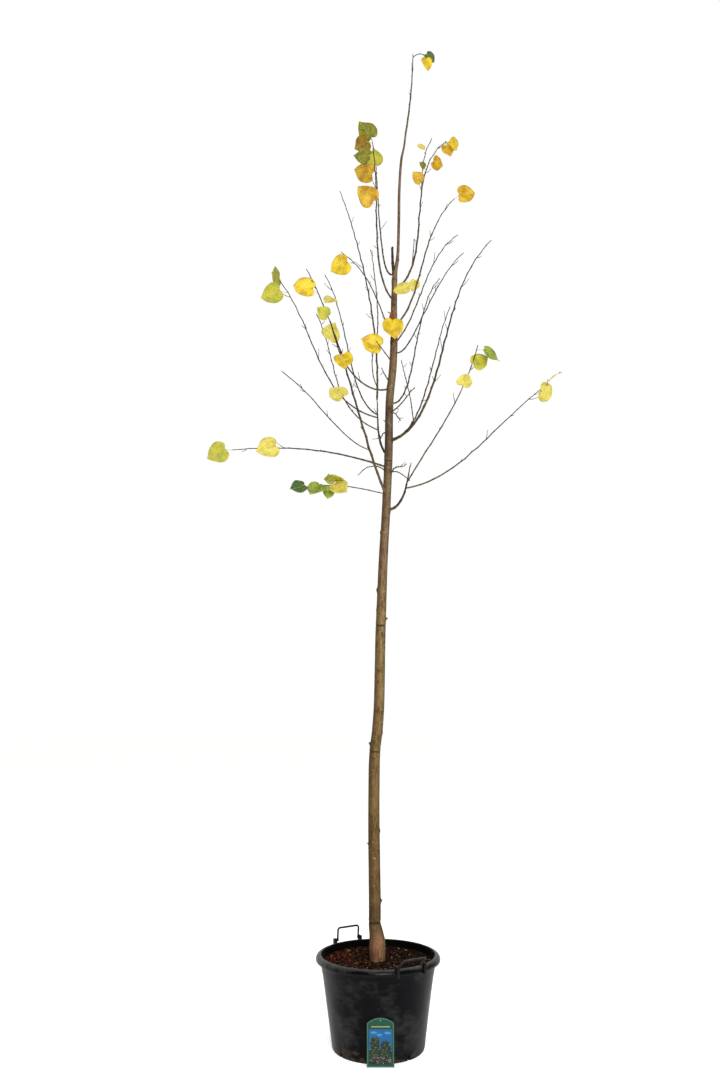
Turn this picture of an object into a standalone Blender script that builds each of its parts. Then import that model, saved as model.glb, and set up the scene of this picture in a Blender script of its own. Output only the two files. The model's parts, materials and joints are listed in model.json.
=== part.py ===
"""A young linden tree in its plastic nursery pot, late in autumn.

The origin is the middle of the pot's underside, +Z is up and -Y is the front.
The trunk is one solid from its flat cut on the soil to the foot of the leader.
Each main bough is a tapering limb, and each mass is the bough's whips, side
twigs and last leaves fused into one solid that keeps to its own space.
"""
import math
import random

import bpy
from mathutils import Matrix, Vector
from mathutils.kdtree import KDTree

GAP = 0.0003
UP = Vector((0.0, 0.0, 1.0))

# Pot, in metres: a tapered tub with a rolled rim.
POT_SIDES = 48
FOOT_RADIUS = 0.1776
WALL_SLOPE = 0.1437
WALL = 0.003
FLOOR = 0.004
RIM_UNDERSIDE = 0.3115
RIM_TOP = 0.3345
RIM_RADIUS = 0.2438
SLOTS = 8
SLOT_FIRST = -142.0
SLOT_WIDTH = 0.009
SLOT_HEIGHT = 0.018

# Soil, level with the trunk's flat cut.
SOIL_TOP = 0.306
SOIL_EDGE = 0.308
SOIL_FLAT_RADIUS = 0.060

# Two bail handles on opposite sides: (name, bearing, tilt in from level).
HANDLES = (("back", 121.0, 86.0), ("front", -60.5, 140.0))
HANDLE_HALF_WIDTH = 0.049
HANDLE_REACH = 0.046
HANDLE_ROD = 0.0074
HANDLE_BEND = 0.010
HINGE_RADIUS = 0.2385
HINGE_HEIGHT = 0.3425
EYE_RADIUS = 0.0055
EYE_WIDTH = 0.005
PIN_RADIUS = 0.0022
PIN_PLAY = 0.0005
CLIP_WIDTH = 0.011
CLIP_INWARD = 0.0065
CLIP_OUTWARD = 0.0125
CLIP_HOOK = 0.0025
CLIP_PLAY = 0.0018

# Label card that leans on the front of the pot.
CARD_WIDTH = 0.100
CARD_HEIGHT = 0.166
CARD_SHOULDER = 0.148
CARD_THICK = 0.0012
CARD_X = 0.004
CARD_FOOT = 0.0005

# Trunk: height, sideways lean, lean in depth and plain diameter at each station.
TRUNK_SIDES = 12
TRUNK_STATIONS = (
    (0.3063, -0.0025, 0.000, 0.0600),
    (0.332, -0.0025, 0.000, 0.0625),
    (0.357, -0.0026, 0.000, 0.0635),
    (0.383, -0.0028, 0.001, 0.0625),
    (0.405, -0.0056, 0.001, 0.0575),
    (0.425, -0.0091, 0.002, 0.0530),
    (0.4455, -0.0125, 0.002, 0.0480),
    (0.475, -0.0120, 0.003, 0.0478),
    (0.610, -0.0125, 0.004, 0.0478),
    (0.830, -0.0145, 0.006, 0.0465),
    (1.010, -0.013, 0.006, 0.0455),
    (1.110, -0.009, 0.005, 0.0448),
    (1.190, 0.001, 0.004, 0.0445),
    (1.310, 0.009, 0.003, 0.0440),
    (1.560, 0.015, 0.000, 0.0430),
    (1.770, 0.023, -0.003, 0.0405),
    (1.940, 0.031, -0.005, 0.0385),
    (2.080, 0.040, -0.005, 0.0370),
    (2.350, 0.054, -0.003, 0.0362),
    (2.620, 0.061, 0.000, 0.0350),
    (2.770, 0.076, 0.002, 0.0340),
    (2.910, 0.083, 0.003, 0.0325),
    (3.060, 0.084, 0.003, 0.0285),
    (3.180, 0.0875, 0.002, 0.0250),
    (3.245, 0.091, 0.001, 0.0205),
    (3.295, 0.100, 0.000, 0.0160),
    (3.355, 0.105, 0.000, 0.0135),
    (3.510, 0.110, 0.001, 0.0130),
    (3.660, 0.1135, 0.002, 0.0125),
    (3.820, 0.1245, 0.002, 0.0115),
    (3.890, 0.138, 0.001, 0.0095),
    (3.960, 0.1465, 0.000, 0.0085),
)
TRUNK_RINGS = 42
COLLAR_RINGS = 9
COLLAR_HEIGHT = 0.46
FLARE = 0.004
FLARE_HEIGHT = 0.010

# Limbs. Each is one curve in an upright plane, from its root on the trunk's
# centre line or on its parent to its tip:
#   part of the length that is bare bough (0 for a thin twig), foot (height on
#   the trunk in metres, or share of the parent's length), bearing (0 is +X,
#   90 is +Y), level reach, rise, slope at the root, slope at the tip, sideways
#   swing of the first stretch in degrees, and thickness at the root in mm.
LIMBS = {
    "low_left": ("trunk", 0.17, 2.18, -150, 0.40, 0.96, 39, 57, 33, 11.0),
    "low_left_fork": ("low_left", 0, 0.21, -145, 0.43, 0.25, -1, 23, 12, 4.6),
    "level_left": ("trunk", 0.30, 2.31, 170, 0.71, 0.12, 24, -2, -7, 8.0),
    "thin_left": ("trunk", 0, 2.19, -160, 0.36, 0.00, 6, -15, 4, 4.6),
    "mid_left": ("trunk", 0.42, 2.36, 135, 0.07, 0.30, 44, 83, 3, 11.0),
    "mid_left_top": ("mid_left", 0, 0.95, 116, 0.41, 1.28, 68, 61, -33, 8.4),
    "mid_left_a": ("mid_left", 0, 0.67, -167, 0.45, 0.61, 11, 52, -7, 6.6),
    "mid_left_b": ("mid_left", 0, 0.48, 135, 0.42, 0.70, 28, 59, 15, 5.6),
    "mid_left_c": ("mid_left", 0, 0.71, 155, 0.27, 0.74, 32, 62, -29, 6.4),
    "mid_left_d": ("mid_left_top", 0, 0.26, 93, 0.31, 0.64, 33, 41, -13, 5.6),
    "swept_left": ("trunk", 0, 2.68, -148, 0.30, 0.21, -18, 83, -46, 8.0),
    "steep_left": ("swept_left", 0, 0.13, 150, 0.02, 0.22, 60, 105, 0, 4.6),
    "slim_left": ("trunk", 0, 2.90, 157, 0.26, 0.50, 69, 41, 15, 5.6),
    "leaf_left": ("trunk", 0, 2.79, -123, 0.14, 0.06, 37, 25, 0, 5.6),
    "front_stub": ("trunk", 0, 2.965, -115, 0.045, 0.03, 20, 50, 0, 6.0),
    "top_left_a": ("trunk", 0.20, 3.10, -141, 0.13, 0.77, -1, 77, 24, 8.4),
    "top_left_b": ("trunk", 0.20, 3.24, 108, 0.27, 0.77, 14, 79, -5, 8.0),
    "low_right": ("trunk", 0.48, 2.12, -11, 0.11, 0.20, 0, 76, 11, 12.0),
    "low_right_long": ("low_right", 0, 0.56, 10, 0.67, 0.52, 15, 37, 20, 6.8),
    "low_right_fork": ("low_right", 0, 0.66, -41, 0.38, 0.52, 51, 71, 1, 6.2),
    "main_right": ("trunk", 0.12, 2.43, -12, 0.47, 0.91, -2, 44, -35, 10.6),
    "main_right_back": ("trunk", 0.20, 2.44, 47, 0.47, 0.80, 17, 61, 8, 7.6),
    "inner_right": ("main_right", 0, 0.14, 94, 0.42, 0.47, 60, 47, -1, 4.6),
    "high_right_a": ("trunk", 0.28, 2.61, 49, 0.40, 0.76, 11, 44, 14, 7.6),
    "toward_right": ("trunk", 0, 2.56, -76, 0.37, -0.02, -2, -3, 10, 5.6),
    "high_right_b": ("trunk", 0.28, 2.86, 7, 0.33, 0.50, 1, 43, 62, 6.6),
    "high_right_c": ("trunk", 0.26, 2.89, 32, 0.38, 0.66, 46, 41, 14, 6.6),
    "high_right_d": ("trunk", 0.20, 2.98, -20, 0.29, 0.57, 0, 40, -38, 8.2),
    "top_right": ("trunk", 0.15, 3.15, 21, 0.28, 0.84, 41, 42, 11, 9.4),
    "top_right_fork": ("top_right", 0, 0.55, -4, 0.06, 0.36, 82, 62, -11, 4.2),
    "top_right_spur": ("top_right", 0, 0.20, -87, 0.09, 0.08, 40, 80, 0, 4.2),
    "old_leader": ("trunk", 1.0, 3.20, -140, 0.012, 0.165, 80, 92, 0, 15.0),
    "cross_twig": ("trunk", 0, 2.28, -55, 0.15, -0.06, 20, -35, 8, 5.0),
    "back_right": ("trunk", 0.30, 2.26, 78, 0.53, 0.22, 40, 25, -5, 6.4),
    "back_left": ("trunk", 0, 2.28, 108, 0.42, 0.11, 31, -9, -9, 5.6),
    "back_mid": ("trunk", 0, 2.54, 81, 0.47, 0.15, 35, 12, 0, 5.6),
    "front_left": ("trunk", 0, 2.46, -100, 0.26, -0.10, -4, -26, -9, 5.2),
    "behind_twig": ("trunk", 0, 2.70, 97, 0.30, 0.20, 34, 34, 4, 5.6),
    "leader": ("tip", 0, 3.96, 0, 0.040, 0.430, 81, 88, 0, 8.5),
    "leader_hook": ("leader", 0, 0.96, -8, 0.050, 0.012, 62, -48, 0, 3.6),
}
CURVE_REACH = 0.36
TIP_RADIUS = 0.0014
# A limb that was cut back ends blunt.
CUT_TIP_RADIUS = {"old_leader": 0.0038}
COLLAR = 0.35
COLLAR_LENGTH = 0.012
BOUGH_SIDES = 7
WHIP_SIDES = 3
WHIP_FULLNESS = 1.2
SAG = 0.0011

# Side twigs: their rule is seeded, so that each run grows the same tree.
SEED = 1123
TWIG_SPACING = 0.16
TWIG_LENGTH = (0.018, 0.052)
TWIG_RADIUS = 0.0013
TWIG_LEAN = 42.0
CLEARANCE = 0.006

# Last leaves: share of the limb, bearing, slope of the blade (negative hangs
# down), tilt of its face (0 faces the front, 90 faces up), length and tint.
LEAVES = {
    "level_left": ((1.0, -180, -30, -20, 0.095, "lime"), (0.68, -170, -20, -20, 0.095, "lemon")),
    "thin_left": (
        (0.70, -50, -30, 20, 0.085, "lemon"), (0.62, -110, 0, -60, 0.085, "lime"),
        (0.80, -130, -40, 40, 0.085, "moss"), (0.98, -150, -20, 20, 0.070, "green"),
        (0.70, -140, -78, 10, 0.055, "moss"),
    ),
    "mid_left_a": (
        (0.20, -140, 10, -60, 0.085, "lemon"), (0.92, 170, -20, -40, 0.095, "lime"),
        (0.98, 130, 30, -40, 0.085, "lime"),
    ),
    "low_left": (
        (0.77, -150, 30, 0, 0.060, "lime"), (0.62, -70, -60, 20, 0.085, "gold"),
        (0.89, -170, 10, 0, 0.090, "gold"),
    ),
    "mid_left_b": ((0.74, -70, 20, -20, 0.095, "lemon"),),
    "mid_left_c": ((0.82, -130, -30, 20, 0.070, "lemon"),),
    "slim_left": ((0.82, 160, -20, -20, 0.095, "gold"),),
    "leaf_left": ((0.50, -170, 20, 0, 0.095, "gold"),),
    "front_stub": ((1.0, -62, -78, 8, 0.095, "gold"),),
    "top_left_a": (
        (0.96, -160, 50, 0, 0.095, "olive"), (0.98, -160, -40, -20, 0.080, "bronze"),
        (0.88, -170, -10, -60, 0.075, "olive"), (0.56, -150, 30, -40, 0.095, "amber"),
    ),
    "top_left_b": ((0.90, -100, 40, 20, 0.080, "lime"), (0.84, -170, 10, -40, 0.095, "amber")),
    "high_right_d": (
        (0.28, 170, 0, 20, 0.075, "lemon"), (0.38, 130, -60, 0, 0.050, "lemon"),
        (1.0, 10, 10, -20, 0.080, "amber"),
    ),
    "top_right": (
        (0.67, -150, 40, 0, 0.060, "amber"), (0.77, -140, 20, 0, 0.038, "olive"),
        (0.81, 40, 0, -20, 0.070, "amber"), (0.97, 0, -70, 40, 0.065, "amber"),
        (0.99, 50, -10, -20, 0.070, "gold"),
    ),
    "top_right_fork": ((0.82, -170, 20, 20, 0.038, "lemon"),),
    "low_right_fork": (
        (0.70, -70, 30, -40, 0.065, "lemon"), (0.84, 10, 30, 0, 0.075, "lime"),
        (0.98, 20, -30, 40, 0.085, "moss"),
    ),
    "low_right_long": ((0.90, 40, 0, -20, 0.095, "lemon"), (0.99, -40, 30, 65, 0.070, "lemon")),
    "leader_hook": ((0.88, 30, -30, 0, 0.055, "green"), (1.0, 50, -70, 40, 0.060, "gold")),
}
FRONT = -90.0
PETIOLE = 0.42
PETIOLE_RADIUS = 0.0010
PETIOLE_LIFT = 25.0
PETIOLE_FORWARD = 0.6
BLADE_THICK = 0.0022
BLADE_DISH = 0.05
BLADE_OUTLINE = (
    (0.00, 0.00), (-0.10, 0.20), (0.04, 0.42), (0.30, 0.49), (0.66, 0.29), (1.00, 0.00),
)
BLADE_MIDDLE = 0.36

# Colours are linear; roughness follows each one.
FINISHES = {
    "pot_plastic": ((0.022, 0.023, 0.025), 0.55),
    "handle_plastic": ((0.010, 0.010, 0.011), 0.45),
    "soil_mulch": ((0.045, 0.022, 0.012), 0.95),
    "card_plastic": ((0.020, 0.110, 0.045), 0.35),
    "trunk_bark": ((0.230, 0.160, 0.095), 0.85),
    "bough_bark": ((0.120, 0.080, 0.050), 0.80),
    "twigs_and_leaves": ((0.420, 0.290, 0.035), 0.60),
}


def clear_scene():
    for old in list(bpy.data.objects):
        bpy.data.objects.remove(old, do_unlink=True)


def finish(name):
    """Give the named finish, made the first time that it is asked for."""
    if name in bpy.data.materials:
        return bpy.data.materials[name]
    colour, roughness = FINISHES[name]
    material = bpy.data.materials.new(name)
    material.use_nodes = True
    shader = material.node_tree.nodes["Principled BSDF"]
    shader.inputs["Base Color"].default_value = (*colour, 1.0)
    shader.inputs["Roughness"].default_value = roughness
    shader.inputs["Metallic"].default_value = 0.0
    return material


def add_object(name, body, finish_name, smooth=True):
    """Make an object of a body, which is a pair of points and faces."""
    points, faces = body
    mesh = bpy.data.meshes.new(name)
    mesh.from_pydata([tuple(point) for point in points], [], faces)
    mesh.update()
    mesh.materials.append(finish(finish_name))
    if smooth:
        mesh.shade_smooth()
        mesh.set_sharp_from_angle(angle=math.radians(35.0))
    thing = bpy.data.objects.new(name, mesh)
    bpy.context.scene.collection.objects.link(thing)
    return thing


def make_cutter(thing):
    """Keep an object as a cutting shape only."""
    thing.hide_render = True
    thing.display_type = "WIRE"
    return thing


def add_boolean(thing, cutter, operation="DIFFERENCE"):
    modifier = thing.modifiers.new("join_" + cutter.name, "BOOLEAN")
    modifier.operation = operation
    modifier.solver = "EXACT"
    modifier.object = cutter
    return modifier


def apply_modifiers(thing):
    """Replace an object's mesh by what its modifiers make of it."""
    graph = bpy.context.evaluated_depsgraph_get()
    mesh = bpy.data.meshes.new_from_object(thing.evaluated_get(graph))
    thing.modifiers.clear()
    thing.data = mesh


def box(low, high):
    """Body of an upright box between two corners."""
    points = [Vector((x, y, z)) for x in (low[0], high[0])
              for y in (low[1], high[1]) for z in (low[2], high[2])]
    faces = [(0, 1, 3, 2), (4, 6, 7, 5), (0, 4, 5, 1), (2, 3, 7, 6), (0, 2, 6, 4), (1, 5, 7, 3)]
    return points, faces


def placed(body, matrix):
    return [matrix @ point for point in body[0]], body[1]


def turned(outline, sides):
    """Body of an outline of (radius, height) turned about Z.

    The outline runs from the axis below, out and up, and back to the axis.
    """
    points, rings = [], []
    for radius, height in outline:
        if radius == 0.0:
            rings.append([len(points)])
            points.append(Vector((0.0, 0.0, height)))
            continue
        rings.append(list(range(len(points), len(points) + sides)))
        for side in range(sides):
            angle = 2.0 * math.pi * side / sides
            points.append(Vector((radius * math.cos(angle), radius * math.sin(angle), height)))
    faces = []
    for low, high in zip(rings, rings[1:]):
        for side in range(sides):
            after = (side + 1) % sides
            if len(low) == 1:
                faces.append((low[0], high[after], high[side]))
            elif len(high) == 1:
                faces.append((low[side], low[after], high[0]))
            else:
                faces.append((low[side], low[after], high[after], high[side]))
    return points, faces


def frame_at(direction, across):
    """Two directions square to a limb, carried on from the last pair."""
    across = across - direction * across.dot(direction)
    across.normalize()
    return across, direction.cross(across)


def tube(points, radii, sides, directions):
    """Body of a tapering limb along its centre line, with flat ends."""
    across = Vector((0.31, -0.84, 0.17))
    if abs(across.normalized().dot(directions[0])) > 0.9:
        across = Vector((1.0, 0.2, 0.0))
    corners, faces = [], []
    for point, radius, direction in zip(points, radii, directions):
        across, other = frame_at(direction, across)
        for side in range(sides):
            angle = 2.0 * math.pi * side / sides
            corners.append(point + radius * (math.cos(angle) * across + math.sin(angle) * other))
    for ring in range(len(points) - 1):
        for side in range(sides):
            after = (side + 1) % sides
            low, high = ring * sides, (ring + 1) * sides
            faces.append((low + side, low + after, high + after, high + side))
    faces.append(tuple(reversed(range(sides))))
    faces.append(tuple(range(len(corners) - sides, len(corners))))
    return corners, faces


def heading(bearing, slope):
    """Unit direction from a bearing and a slope, both in degrees."""
    turn, lift = math.radians(bearing), math.radians(slope)
    return Vector((math.cos(turn) * math.cos(lift), math.sin(turn) * math.cos(lift), math.sin(lift)))


# Pot, soil, handles and card

def wall_radius(height):
    """Outer radius of the pot's wall at a height."""
    return FOOT_RADIUS + WALL_SLOPE * height


def rim_outline(grow=0.0):
    """Outside of the pot, from its foot over the rolled rim to the rim's inner edge."""
    return [
        (FOOT_RADIUS - 0.002 + grow, 0.0),
        (wall_radius(0.003) + grow, 0.003),
        (wall_radius(SLOT_HEIGHT + 0.006) + grow, SLOT_HEIGHT + 0.006),
        (wall_radius(RIM_UNDERSIDE) + grow, RIM_UNDERSIDE - grow),
        (RIM_RADIUS - 0.0018 + grow, RIM_UNDERSIDE - grow),
        (RIM_RADIUS + grow, RIM_UNDERSIDE + 0.003),
        (RIM_RADIUS + grow, RIM_UNDERSIDE + 0.009),
        (RIM_RADIUS - 0.003 + grow, RIM_TOP - 0.0065 + grow),
        (RIM_RADIUS - 0.009, RIM_TOP - 0.002 + grow),
        (RIM_RADIUS - 0.016, RIM_TOP + grow),
    ]


def build_pot():
    inner_top = wall_radius(RIM_TOP) - WALL
    outline = [(0.0, 0.0)] + rim_outline() + [
        (inner_top, RIM_TOP - 0.0008),
        (inner_top - 0.0015, RIM_TOP - 0.004),
        (wall_radius(RIM_UNDERSIDE) - WALL, RIM_UNDERSIDE),
        (wall_radius(FLOOR) - WALL, FLOOR),
        (0.0, FLOOR),
    ]
    pot = add_object("pot", turned(outline, POT_SIDES), "pot_plastic")
    for slot in range(SLOTS):
        bearing = math.radians(SLOT_FIRST + slot * 360.0 / SLOTS)
        half = 0.5 * SLOT_WIDTH
        body = box((FOOT_RADIUS - 0.012, -half, -0.01), (FOOT_RADIUS + 0.02, half, SLOT_HEIGHT))
        body = placed(body, Matrix.Rotation(bearing, 4, "Z"))
        add_boolean(pot, make_cutter(add_object("slot_cutter_%d" % slot, body, "pot_plastic")))
    return pot


def build_soil():
    low = FLOOR + GAP
    outline = [
        (0.0, low),
        (wall_radius(low) - WALL - GAP, low),
        (wall_radius(SOIL_EDGE) - WALL - GAP, SOIL_EDGE),
        (0.190, SOIL_TOP + 0.0005),
        (SOIL_FLAT_RADIUS, SOIL_TOP),
        (0.0, SOIL_TOP),
    ]
    return add_object("soil", turned(outline, POT_SIDES), "soil_mulch")


def handle_frame(bearing):
    """Frame whose X points out from the pot and whose origin is on the hinge line."""
    turn = Matrix.Rotation(math.radians(bearing), 4, "Z")
    return turn @ Matrix.Translation((HINGE_RADIUS - 0.0045, 0.0, HINGE_HEIGHT))


def hinge_cylinder(radius, start, end, sides=12):
    """Body of a cylinder along the hinge line between two places on it."""
    points = [Vector((0.0, start, 0.0)), Vector((0.0, end, 0.0))]
    way = Vector((0.0, math.copysign(1.0, end - start), 0.0))
    return tube(points, [radius, radius], sides, [way, way])


def build_clip(name, bearing, side, rim_cutter):
    """Saddle clip hooked round the rim, with the pin that one end of the handle turns on."""
    frame = handle_frame(bearing)
    inner = HANDLE_HALF_WIDTH + 0.5 * EYE_WIDTH + CLIP_PLAY
    outer = inner + CLIP_WIDTH
    low_y, high_y = sorted((side * inner, side * outer))
    drop = HINGE_HEIGHT - RIM_UNDERSIDE + CLIP_HOOK
    body = box((-CLIP_INWARD, low_y, -drop), (CLIP_OUTWARD, high_y, 0.005))
    clip = add_object(name, placed(body, frame), "handle_plastic")
    pin_end = side * (HANDLE_HALF_WIDTH - 0.5 * EYE_WIDTH - 0.001)
    pin = hinge_cylinder(PIN_RADIUS, side * (inner + 0.003), pin_end)
    pin_object = make_cutter(add_object(name + "_pin", placed(pin, frame), "handle_plastic"))
    add_boolean(clip, rim_cutter)
    add_boolean(clip, pin_object, "UNION")
    return clip


def build_handle(name, bearing, tilt):
    """Bail handle: a bent rod between two eyes, turned about the hinge line."""
    frame = handle_frame(bearing) @ Matrix.Rotation(math.radians(tilt), 4, "Y")
    rod = 0.5 * HANDLE_ROD
    half, reach, bend = HANDLE_HALF_WIDTH, HANDLE_REACH, HANDLE_BEND
    route = [(-0.003, -half), (-(reach - bend), -half)]
    for step in range(1, 4):
        angle = math.radians(90.0 * step / 4)
        route.append((-(reach - bend) - bend * math.sin(angle), -half + bend * (1.0 - math.cos(angle))))
    route += [(-reach, -half + bend)]
    route += [(x, -y) for x, y in reversed(route)]
    points = [Vector((x, y, 0.0)) for x, y in route]
    directions = [(points[min(i + 1, len(points) - 1)] - points[max(i - 1, 0)]).normalized()
                  for i in range(len(points))]
    route_body = placed(tube(points, [rod] * len(points), 8, directions), frame)
    handle = add_object(name, route_body, "handle_plastic")
    handle.data.transform(Matrix.Translation(-frame.translation))
    handle.location = frame.translation
    for side in (-1.0, 1.0):
        start, end = side * (half - 0.5 * EYE_WIDTH), side * (half + 0.5 * EYE_WIDTH)
        eye = placed(hinge_cylinder(EYE_RADIUS, start, end), frame)
        tag = "%s_eye_%d" % (name, side > 0)
        add_boolean(handle, make_cutter(add_object(tag, eye, "handle_plastic")), "UNION")
    for side in (-1.0, 1.0):
        start, end = side * (half - EYE_WIDTH), side * (half + EYE_WIDTH)
        bore = placed(hinge_cylinder(PIN_RADIUS + PIN_PLAY, start, end), frame)
        tag = "%s_bore_%d" % (name, side > 0)
        add_boolean(handle, make_cutter(add_object(tag, bore, "handle_plastic")))
    return handle


def build_card():
    """Flat card with an arched head, standing on its foot against the wall."""
    half, arch = 0.5 * CARD_WIDTH, CARD_HEIGHT - CARD_SHOULDER
    radius = (half * half + arch * arch) / (2.0 * arch)
    outline = [(half, 0.0), (half, CARD_SHOULDER)]
    spread = math.asin(half / radius)
    for step in range(1, 8):
        angle = spread * (1.0 - step / 4.0)
        height = CARD_HEIGHT - radius + radius * math.cos(angle)
        outline.append((radius * math.sin(angle), height))
    outline += [(-half, CARD_SHOULDER), (-half, 0.0)]
    count = len(outline)
    points = [Vector((x, -CARD_THICK, z)) for x, z in outline]
    points += [Vector((x, 0.0, z)) for x, z in outline]
    faces = [tuple(range(count)), tuple(reversed(range(count, 2 * count)))]
    for i in range(count):
        after = (i + 1) % count
        faces.append((i, count + i, count + after, after))
    back = -(wall_radius(CARD_HEIGHT) + GAP)
    place = Matrix.Translation((CARD_X, back, CARD_FOOT))
    return add_object("label_card", placed((points, faces), place), "card_plastic", smooth=False)


# Trunk

def station_slope(index, column):
    """Slope of a trunk column at a station, from the stations on either side."""
    low = TRUNK_STATIONS[max(index - 1, 0)]
    high = TRUNK_STATIONS[min(index + 1, len(TRUNK_STATIONS) - 1)]
    return (high[column] - low[column]) / (high[0] - low[0])


def trunk_value(height, column):
    """A trunk column at any height, on a smooth curve through the stations."""
    index = 0
    while index < len(TRUNK_STATIONS) - 2 and TRUNK_STATIONS[index + 1][0] < height:
        index += 1
    low, high = TRUNK_STATIONS[index], TRUNK_STATIONS[index + 1]
    span = high[0] - low[0]
    t = (height - low[0]) / span
    return ((2 * t ** 3 - 3 * t ** 2 + 1) * low[column]
            + (t ** 3 - 2 * t ** 2 + t) * span * station_slope(index, column)
            + (3 * t ** 2 - 2 * t ** 3) * high[column]
            + (t ** 3 - t ** 2) * span * station_slope(index + 1, column))


def trunk_point(height):
    return Vector((trunk_value(height, 1), trunk_value(height, 2), height))


def trunk_radius(height):
    flare = FLARE * math.exp(-(height - TRUNK_STATIONS[0][0]) / FLARE_HEIGHT)
    return 0.5 * (trunk_value(height, 3) + flare)


def trunk_body(grow=0.0):
    """Body of the trunk in level rings, closer together at the collar."""
    low, middle, high = TRUNK_STATIONS[0][0], COLLAR_HEIGHT, TRUNK_STATIONS[-1][0]
    heights = [low + (middle - low) * step / COLLAR_RINGS for step in range(COLLAR_RINGS)]
    heights += [middle + (high - middle) * step / TRUNK_RINGS for step in range(TRUNK_RINGS + 1)]
    points = [trunk_point(height) for height in heights]
    radii = [trunk_radius(height) + grow for height in heights]
    return tube(points, radii, TRUNK_SIDES, [UP] * len(points))


# Limbs

class Limb:
    """One limb: its centre line and thickness, read by share of its length."""

    steps = 48

    def __init__(self, name, root):
        row = LIMBS[name]
        self.name, self.parent, self.bare = name, row[0], row[1]
        bearing, reach, rise, leave, end, swing, thick = row[3:]
        run = CURVE_REACH * math.hypot(reach, rise)
        tip = root + Vector((reach * math.cos(math.radians(bearing)),
                             reach * math.sin(math.radians(bearing)), rise))
        first = root + run * heading(bearing + swing, leave)
        second = tip - run * heading(bearing, end)
        self.points = []
        for step in range(self.steps + 1):
            t = step / self.steps
            self.points.append((1 - t) ** 3 * root + 3 * (1 - t) ** 2 * t * first
                               + 3 * (1 - t) * t * t * second + t ** 3 * tip)
        self.lengths = [0.0]
        for low, high in zip(self.points, self.points[1:]):
            self.lengths.append(self.lengths[-1] + (high - low).length)
        self.length = self.lengths[-1]
        self.root_radius = 0.0005 * thick

    def place(self, share):
        """Point at a share of the length, and the direction there."""
        want = min(max(share, 0.0), 1.0) * self.length
        index = 0
        while index < self.steps - 1 and self.lengths[index + 1] < want:
            index += 1
        low, high = self.points[index], self.points[index + 1]
        span = self.lengths[index + 1] - self.lengths[index]
        return low.lerp(high, (want - self.lengths[index]) / span), (high - low).normalized()

    def radius(self, share):
        tip = CUT_TIP_RADIUS.get(self.name, TIP_RADIUS)
        plain = tip + (self.root_radius - tip) * (1.0 - share) ** 1.1
        if self.parent != "trunk":
            return plain
        return plain * (1.0 + COLLAR * math.exp(-share * self.length / COLLAR_LENGTH))

    def stations(self, start, end):
        """Fewest even stations whose chords stay close to the curve."""
        for steps in range(3, 40):
            shares = [start + (end - start) * step / steps for step in range(steps + 1)]
            sag = 0.0
            for low, high in zip(shares, shares[1:]):
                middle = 0.5 * (self.place(low)[0] + self.place(high)[0])
                sag = max(sag, (self.place(0.5 * (low + high))[0] - middle).length)
            if sag < SAG:
                break
        return shares

    def body(self, start, end, sides, lift=0.0):
        """Body of the stretch between two shares, its first end lifted off by a gap."""
        shares = self.stations(start, end)
        places = [self.place(share) for share in shares]
        points = [point for point, _ in places]
        points[0] = points[0] + lift * places[0][1]
        directions = [direction for _, direction in places]
        if self.parent == "tip":
            directions[0] = UP
        full = WHIP_FULLNESS if sides == WHIP_SIDES else 1.0
        return tube(points, [full * self.radius(share) for share in shares], sides, directions)


def grow_limbs():
    """Lay out every limb's centre line, parents before the limbs they carry."""
    limbs = {}
    for name, row in LIMBS.items():
        parent, foot = row[0], row[2]
        if parent in ("trunk", "tip"):
            root = trunk_point(foot)
        else:
            root = limbs[parent].place(foot)[0]
        limbs[name] = Limb(name, root)
    return limbs


def mass_of(name):
    """Name of the limb whose mass a limb belongs to."""
    while LIMBS[name][0] not in ("trunk", "tip"):
        name = LIMBS[name][0]
    return name


class Space:
    """What stands where, so that a twig or leaf keeps to its own mass's space."""

    def __init__(self, limbs):
        self.spots = []
        for name, limb in limbs.items():
            count = max(4, int(limb.length / 0.008))
            for step in range(count + 1):
                share = step / count
                bare = limb.bare > 0 and share < limb.bare
                owner = "bough" if bare else mass_of(name)
                self.spots.append((limb.place(share)[0], limb.radius(share), owner))
        low, high = TRUNK_STATIONS[0][0], TRUNK_STATIONS[-1][0]
        for step in range(401):
            height = low + (high - low) * step / 400
            self.spots.append((trunk_point(height), trunk_radius(height), "trunk"))
        self.tree = KDTree(len(self.spots))
        for index, spot in enumerate(self.spots):
            self.tree.insert(spot[0], index)
        self.tree.balance()
        self.taken = []

    def is_free(self, points, owner):
        for point in points:
            for _, index, distance in self.tree.find_range(point, 0.04):
                _, radius, other = self.spots[index]
                if other != owner and distance < radius + CLEARANCE:
                    return False
            for spot, other in self.taken:
                if other != owner and (spot - point).length < CLEARANCE:
                    return False
        return True

    def take(self, points, owner):
        self.taken += [(point, owner) for point in points]


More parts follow.
